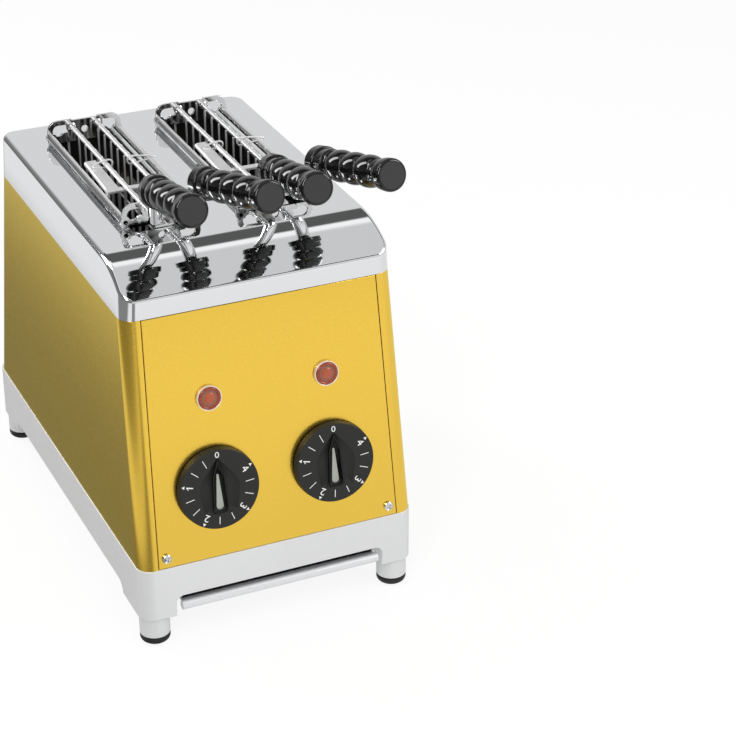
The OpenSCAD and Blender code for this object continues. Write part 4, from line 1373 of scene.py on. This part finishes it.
@dataclass
class Interior:
    """Finishes for the frame nodes that stay as they are."""

    def dress(self) -> None:
        """Gives each remaining node its finish."""
        for finish, nodes in self.finishes().items():
            for name in nodes:
                mesh = frame["nodes"][name].data
                mesh.materials.clear()
                mesh.materials.append(finish.material())
                log.info("%s: %s", name, finish.name)

    @staticmethod
    def finishes() -> dict[Finish, list[str]]:
        """Lists the nodes of each finish.

        Returns:
            The nodes' names under each finish.
        """
        both = [side.word for side in Side]
        return {
            # Near-black chamber and guards: painted shade for the inside of the slots.
            PAINTED_SHADE_STEEL: ["heat_chamber", *(f"bread_guards_{word}" for word in both)],
            SHEET: ["bottom_plate", "tray_runners", *(f"timer_{word}" for word in both)],
            QUARTZ: [f"quartz_heaters_{word}" for word in both],
            CERAMIC: ["terminal_block"],
            # Ceramic holders near black: painted shade for the inside of the slots.
            PAINTED_SHADE_CERAMIC: [f"ceramic_holders_{word}" for word in both],
            BRIGHT: [f"timer_shaft_{word}" for word in both],
        }


@dataclass
class Studio:
    """Camera, soft lamps, a pale floor and surroundings that fall off away from the front."""

    camera_place: Triple = (-0.50324, -1.41057, 0.91964)
    camera_turn: Triple = (62.07, 0.0, -24.51)
    lens: float = 109.2
    floor_size: float = 12.0
    soft_light: float = 0.52

    def build(self) -> None:
        """Sets up the whole stage."""
        bpy.context.scene.view_settings.view_transform = "Standard"
        self.camera()
        self.floor()
        self.world()
        self.lamp("key_lamp", (1.7, -1.3, 1.5), (1.1, 0.9), 20.0)
        self.lamp("window_lamp", (-1.1, -1.5, 1.5), (0.5, 1.1), 22.0)
        self.lamp("rear_window_lamp", (-0.95, 1.2, 1.15), (0.4, 1.4), 16.0)
        self.lamp("overhead_lamp", (0.0, -0.4, 1.9), (2.2, 1.8), 14.0, mirrored=False)

    def camera(self) -> None:
        """Camera at the photograph's viewing angle."""
        data = bpy.data.cameras.new("camera")
        data.lens = self.lens
        data.sensor_width = 36.0
        camera = bpy.data.objects.new("camera", data)
        camera.location = self.camera_place
        camera.rotation_euler = [math.radians(angle) for angle in self.camera_turn]
        bpy.context.scene.collection.objects.link(camera)
        bpy.context.scene.camera = camera

    def lamp(self, name: str, place: Triple, size: Point, power: float, mirrored: bool = True) -> None:
        """Adds a soft lamp that faces the toaster.

        Args:
            name: Name of the lamp.
            place: Its middle in metres.
            size: Its width and height in metres.
            power: Its power in watts.
            mirrored: Whether glossy surfaces show it.
        """
        data = bpy.data.lights.new(name, "AREA")
        data.shape = "RECTANGLE"
        data.size, data.size_y = size
        data.energy = power
        lamp = bpy.data.objects.new(name, data)
        lamp.location = place
        lamp.visible_glossy = mirrored
        lamp.rotation_euler = (Vector((0, 0, 0.15)) - Vector(place)).to_track_quat("-Z", "Y").to_euler()
        bpy.context.scene.collection.objects.link(lamp)

    def floor(self) -> None:
        """Pale floor with a soft shadow; in reflections painted brightest near the toaster, shaded to its left."""
        bm = bmesh.new()
        bmesh.ops.create_grid(bm, x_segments=1, y_segments=1, size=self.floor_size / 2)
        mesh = bpy.data.meshes.new("floor")
        bm.to_mesh(mesh)
        floor = bpy.data.objects.new("floor", mesh)
        bpy.context.scene.collection.objects.link(floor)
        material = bpy.data.materials.new("pale_floor")
        material.use_nodes = True
        material.cycles.emission_sampling = "NONE"
        tree = material.node_tree
        shader = tree.nodes["Principled BSDF"]
        # Black to reflected rays, so that reflections show only the painted light and shade below.
        tree.links.new(self.seen(tree, 0.80, 0.0, 0.80), shader.inputs["Base Color"])
        shader.inputs["Roughness"].default_value = 0.9
        shader.inputs["Specular IOR Level"].default_value = 0.1
        place = tree.nodes.new("ShaderNodeTexCoord").outputs["Object"]
        distance = tree.nodes.new("ShaderNodeVectorMath")
        distance.operation = "LENGTH"
        tree.links.new(place, distance.inputs[0])
        parts = tree.nodes.new("ShaderNodeSeparateXYZ")
        tree.links.new(place, parts.inputs["Vector"])
        # Painted shade for reflections: darker towards the back, left of the toaster and far away.
        front = self.ramp(tree, parts.outputs["Y"], (-1.15, -0.30), (1.0, 0.80))
        right = self.ramp(tree, parts.outputs["X"], (-0.14, -0.04), (0.28, 1.0))
        # Painted light strip for reflections, further left of the toaster.
        strip = self.math(tree, "MULTIPLY", self.ramp(tree, parts.outputs["X"], (-0.60, -0.50), (0.0, 0.60)),
                          self.ramp(tree, parts.outputs["X"], (-0.31, -0.25), (1.0, 0.0)))
        near = self.ramp(tree, distance.outputs["Value"], (1.6, 3.2), (1.0, 0.25))
        painted_floor_shade = self.math(tree, "MULTIPLY", front, self.math(tree, "MULTIPLY", right, near))
        mirrored = self.math(tree, "ADD", painted_floor_shade, strip)
        glow = tree.nodes.new("ShaderNodeEmission")
        blend = tree.nodes.new("ShaderNodeMixShader")
        # Reflected rays see only this painted light and shade; camera rays keep a faint real shadow.
        tree.links.new(self.seen(tree, 0.88, mirrored, 0.0), blend.inputs["Fac"])
        tree.links.new(shader.outputs["BSDF"], blend.inputs[1])
        tree.links.new(glow.outputs["Emission"], blend.inputs[2])
        tree.links.new(blend.outputs["Shader"], tree.nodes["Material Output"].inputs["Surface"])
        mesh.materials.append(material)

    @staticmethod
    def ramp(tree: bpy.types.NodeTree, value: bpy.types.NodeSocket, source: Point,
             target: Point) -> bpy.types.NodeSocket:
        """Maps a value smoothly from one range to another.

        Args:
            tree: Node tree of the floor or the world.
            value: The socket to map.
            source: First and last value of the source range.
            target: The values that these become.

        Returns:
            The socket with the mapped value.
        """
        node = tree.nodes.new("ShaderNodeMapRange")
        node.interpolation_type = "SMOOTHSTEP"
        node.inputs["From Min"].default_value, node.inputs["From Max"].default_value = source
        node.inputs["To Min"].default_value, node.inputs["To Max"].default_value = target
        tree.links.new(value, node.inputs["Value"])
        return node.outputs["Result"]

    @staticmethod
    def math(tree: bpy.types.NodeTree, work: str, first: bpy.types.NodeSocket,
             second: bpy.types.NodeSocket) -> bpy.types.NodeSocket:
        """Joins two values by a Math node.

        Args:
            tree: Node tree of the floor or the world.
            work: Name of the operation.
            first: The first value.
            second: The second value.

        Returns:
            The socket with the result.
        """
        node = tree.nodes.new("ShaderNodeMath")
        node.operation = work
        tree.links.new(first, node.inputs[0])
        tree.links.new(second, node.inputs[1])
        return node.outputs["Value"]

    @staticmethod
    def choose(tree: bpy.types.NodeTree, test: bpy.types.NodeSocket, no: bpy.types.NodeSocket | float,
               yes: bpy.types.NodeSocket | float) -> bpy.types.NodeSocket:
        """Gives one of two values by a test of 0 or 1.

        Args:
            tree: Node tree of the floor or the world.
            test: Socket that holds 0 or 1.
            no: Value for 0.
            yes: Value for 1.

        Returns:
            The socket with the chosen value.
        """
        node = tree.nodes.new("ShaderNodeMix")
        node.data_type = "FLOAT"
        tree.links.new(test, node.inputs[0])
        for socket, value in ((node.inputs[2], no), (node.inputs[3], yes)):
            if isinstance(value, float):
                socket.default_value = value
            else:
                tree.links.new(value, socket)
        return node.outputs[0]

    def seen(self, tree: bpy.types.NodeTree, direct: float, mirrored: bpy.types.NodeSocket | float,
             soft: float) -> bpy.types.NodeSocket:
        """Gives a value by the kind of ray.

        Args:
            tree: Node tree of the floor or the world.
            direct: Value for camera rays.
            mirrored: Value for rays off metal or through glass.
            soft: Value for all other rays.

        Returns:
            The socket with the value.
        """
        path = tree.nodes.new("ShaderNodeLightPath")
        value = self.choose(tree, path.outputs["Is Glossy Ray"], soft, mirrored)
        value = self.choose(tree, path.outputs["Is Transmission Ray"], value, mirrored)
        return self.choose(tree, path.outputs["Is Camera Ray"], value, direct)

    def world(self) -> None:
        """White to the camera; in metal a room with pale walls, a dark band above them and a pale ceiling."""
        world = bpy.data.worlds.new("surroundings")
        bpy.context.scene.world = world
        world.use_nodes = True
        world.cycles.sampling_method = "NONE"
        tree = world.node_tree
        light = tree.nodes["Background"]
        light.inputs["Color"].default_value = (1.0, 1.0, 1.0, 1.0)
        parts = tree.nodes.new("ShaderNodeSeparateXYZ")
        tree.links.new(tree.nodes.new("ShaderNodeTexCoord").outputs["Generated"], parts.inputs["Vector"])
        wall = self.ramp(tree, parts.outputs["Z"], (0.48, 0.53), (1.0, 0.0))
        across = self.ramp(tree, parts.outputs["X"], (-0.40, 0.15), (0.10, 0.62))
        edge = self.ramp(tree, parts.outputs["Z"], (0.74, 0.78), (0.10, 1.0))
        fade = self.ramp(tree, parts.outputs["Z"], (0.81, 0.86), (0.0, 0.36))
        ceiling = self.math(tree, "SUBTRACT", edge, fade)
        room = self.math(tree, "ADD", self.math(tree, "MULTIPLY", wall, across), ceiling)
        tree.links.new(self.seen(tree, 1.0, room, self.soft_light), light.inputs["Strength"])


def main() -> None:
    """Builds the toaster piece by piece."""
    logging.basicConfig(level=logging.INFO, format="%(message)s")
    Studio().build()
    panel = Panel()
    Housing(panel).build()
    for side in Side:
        Dial(side, panel).build()
        Tong(side).build()
    Interior().dress()


if __name__ == "__main__":
    main()
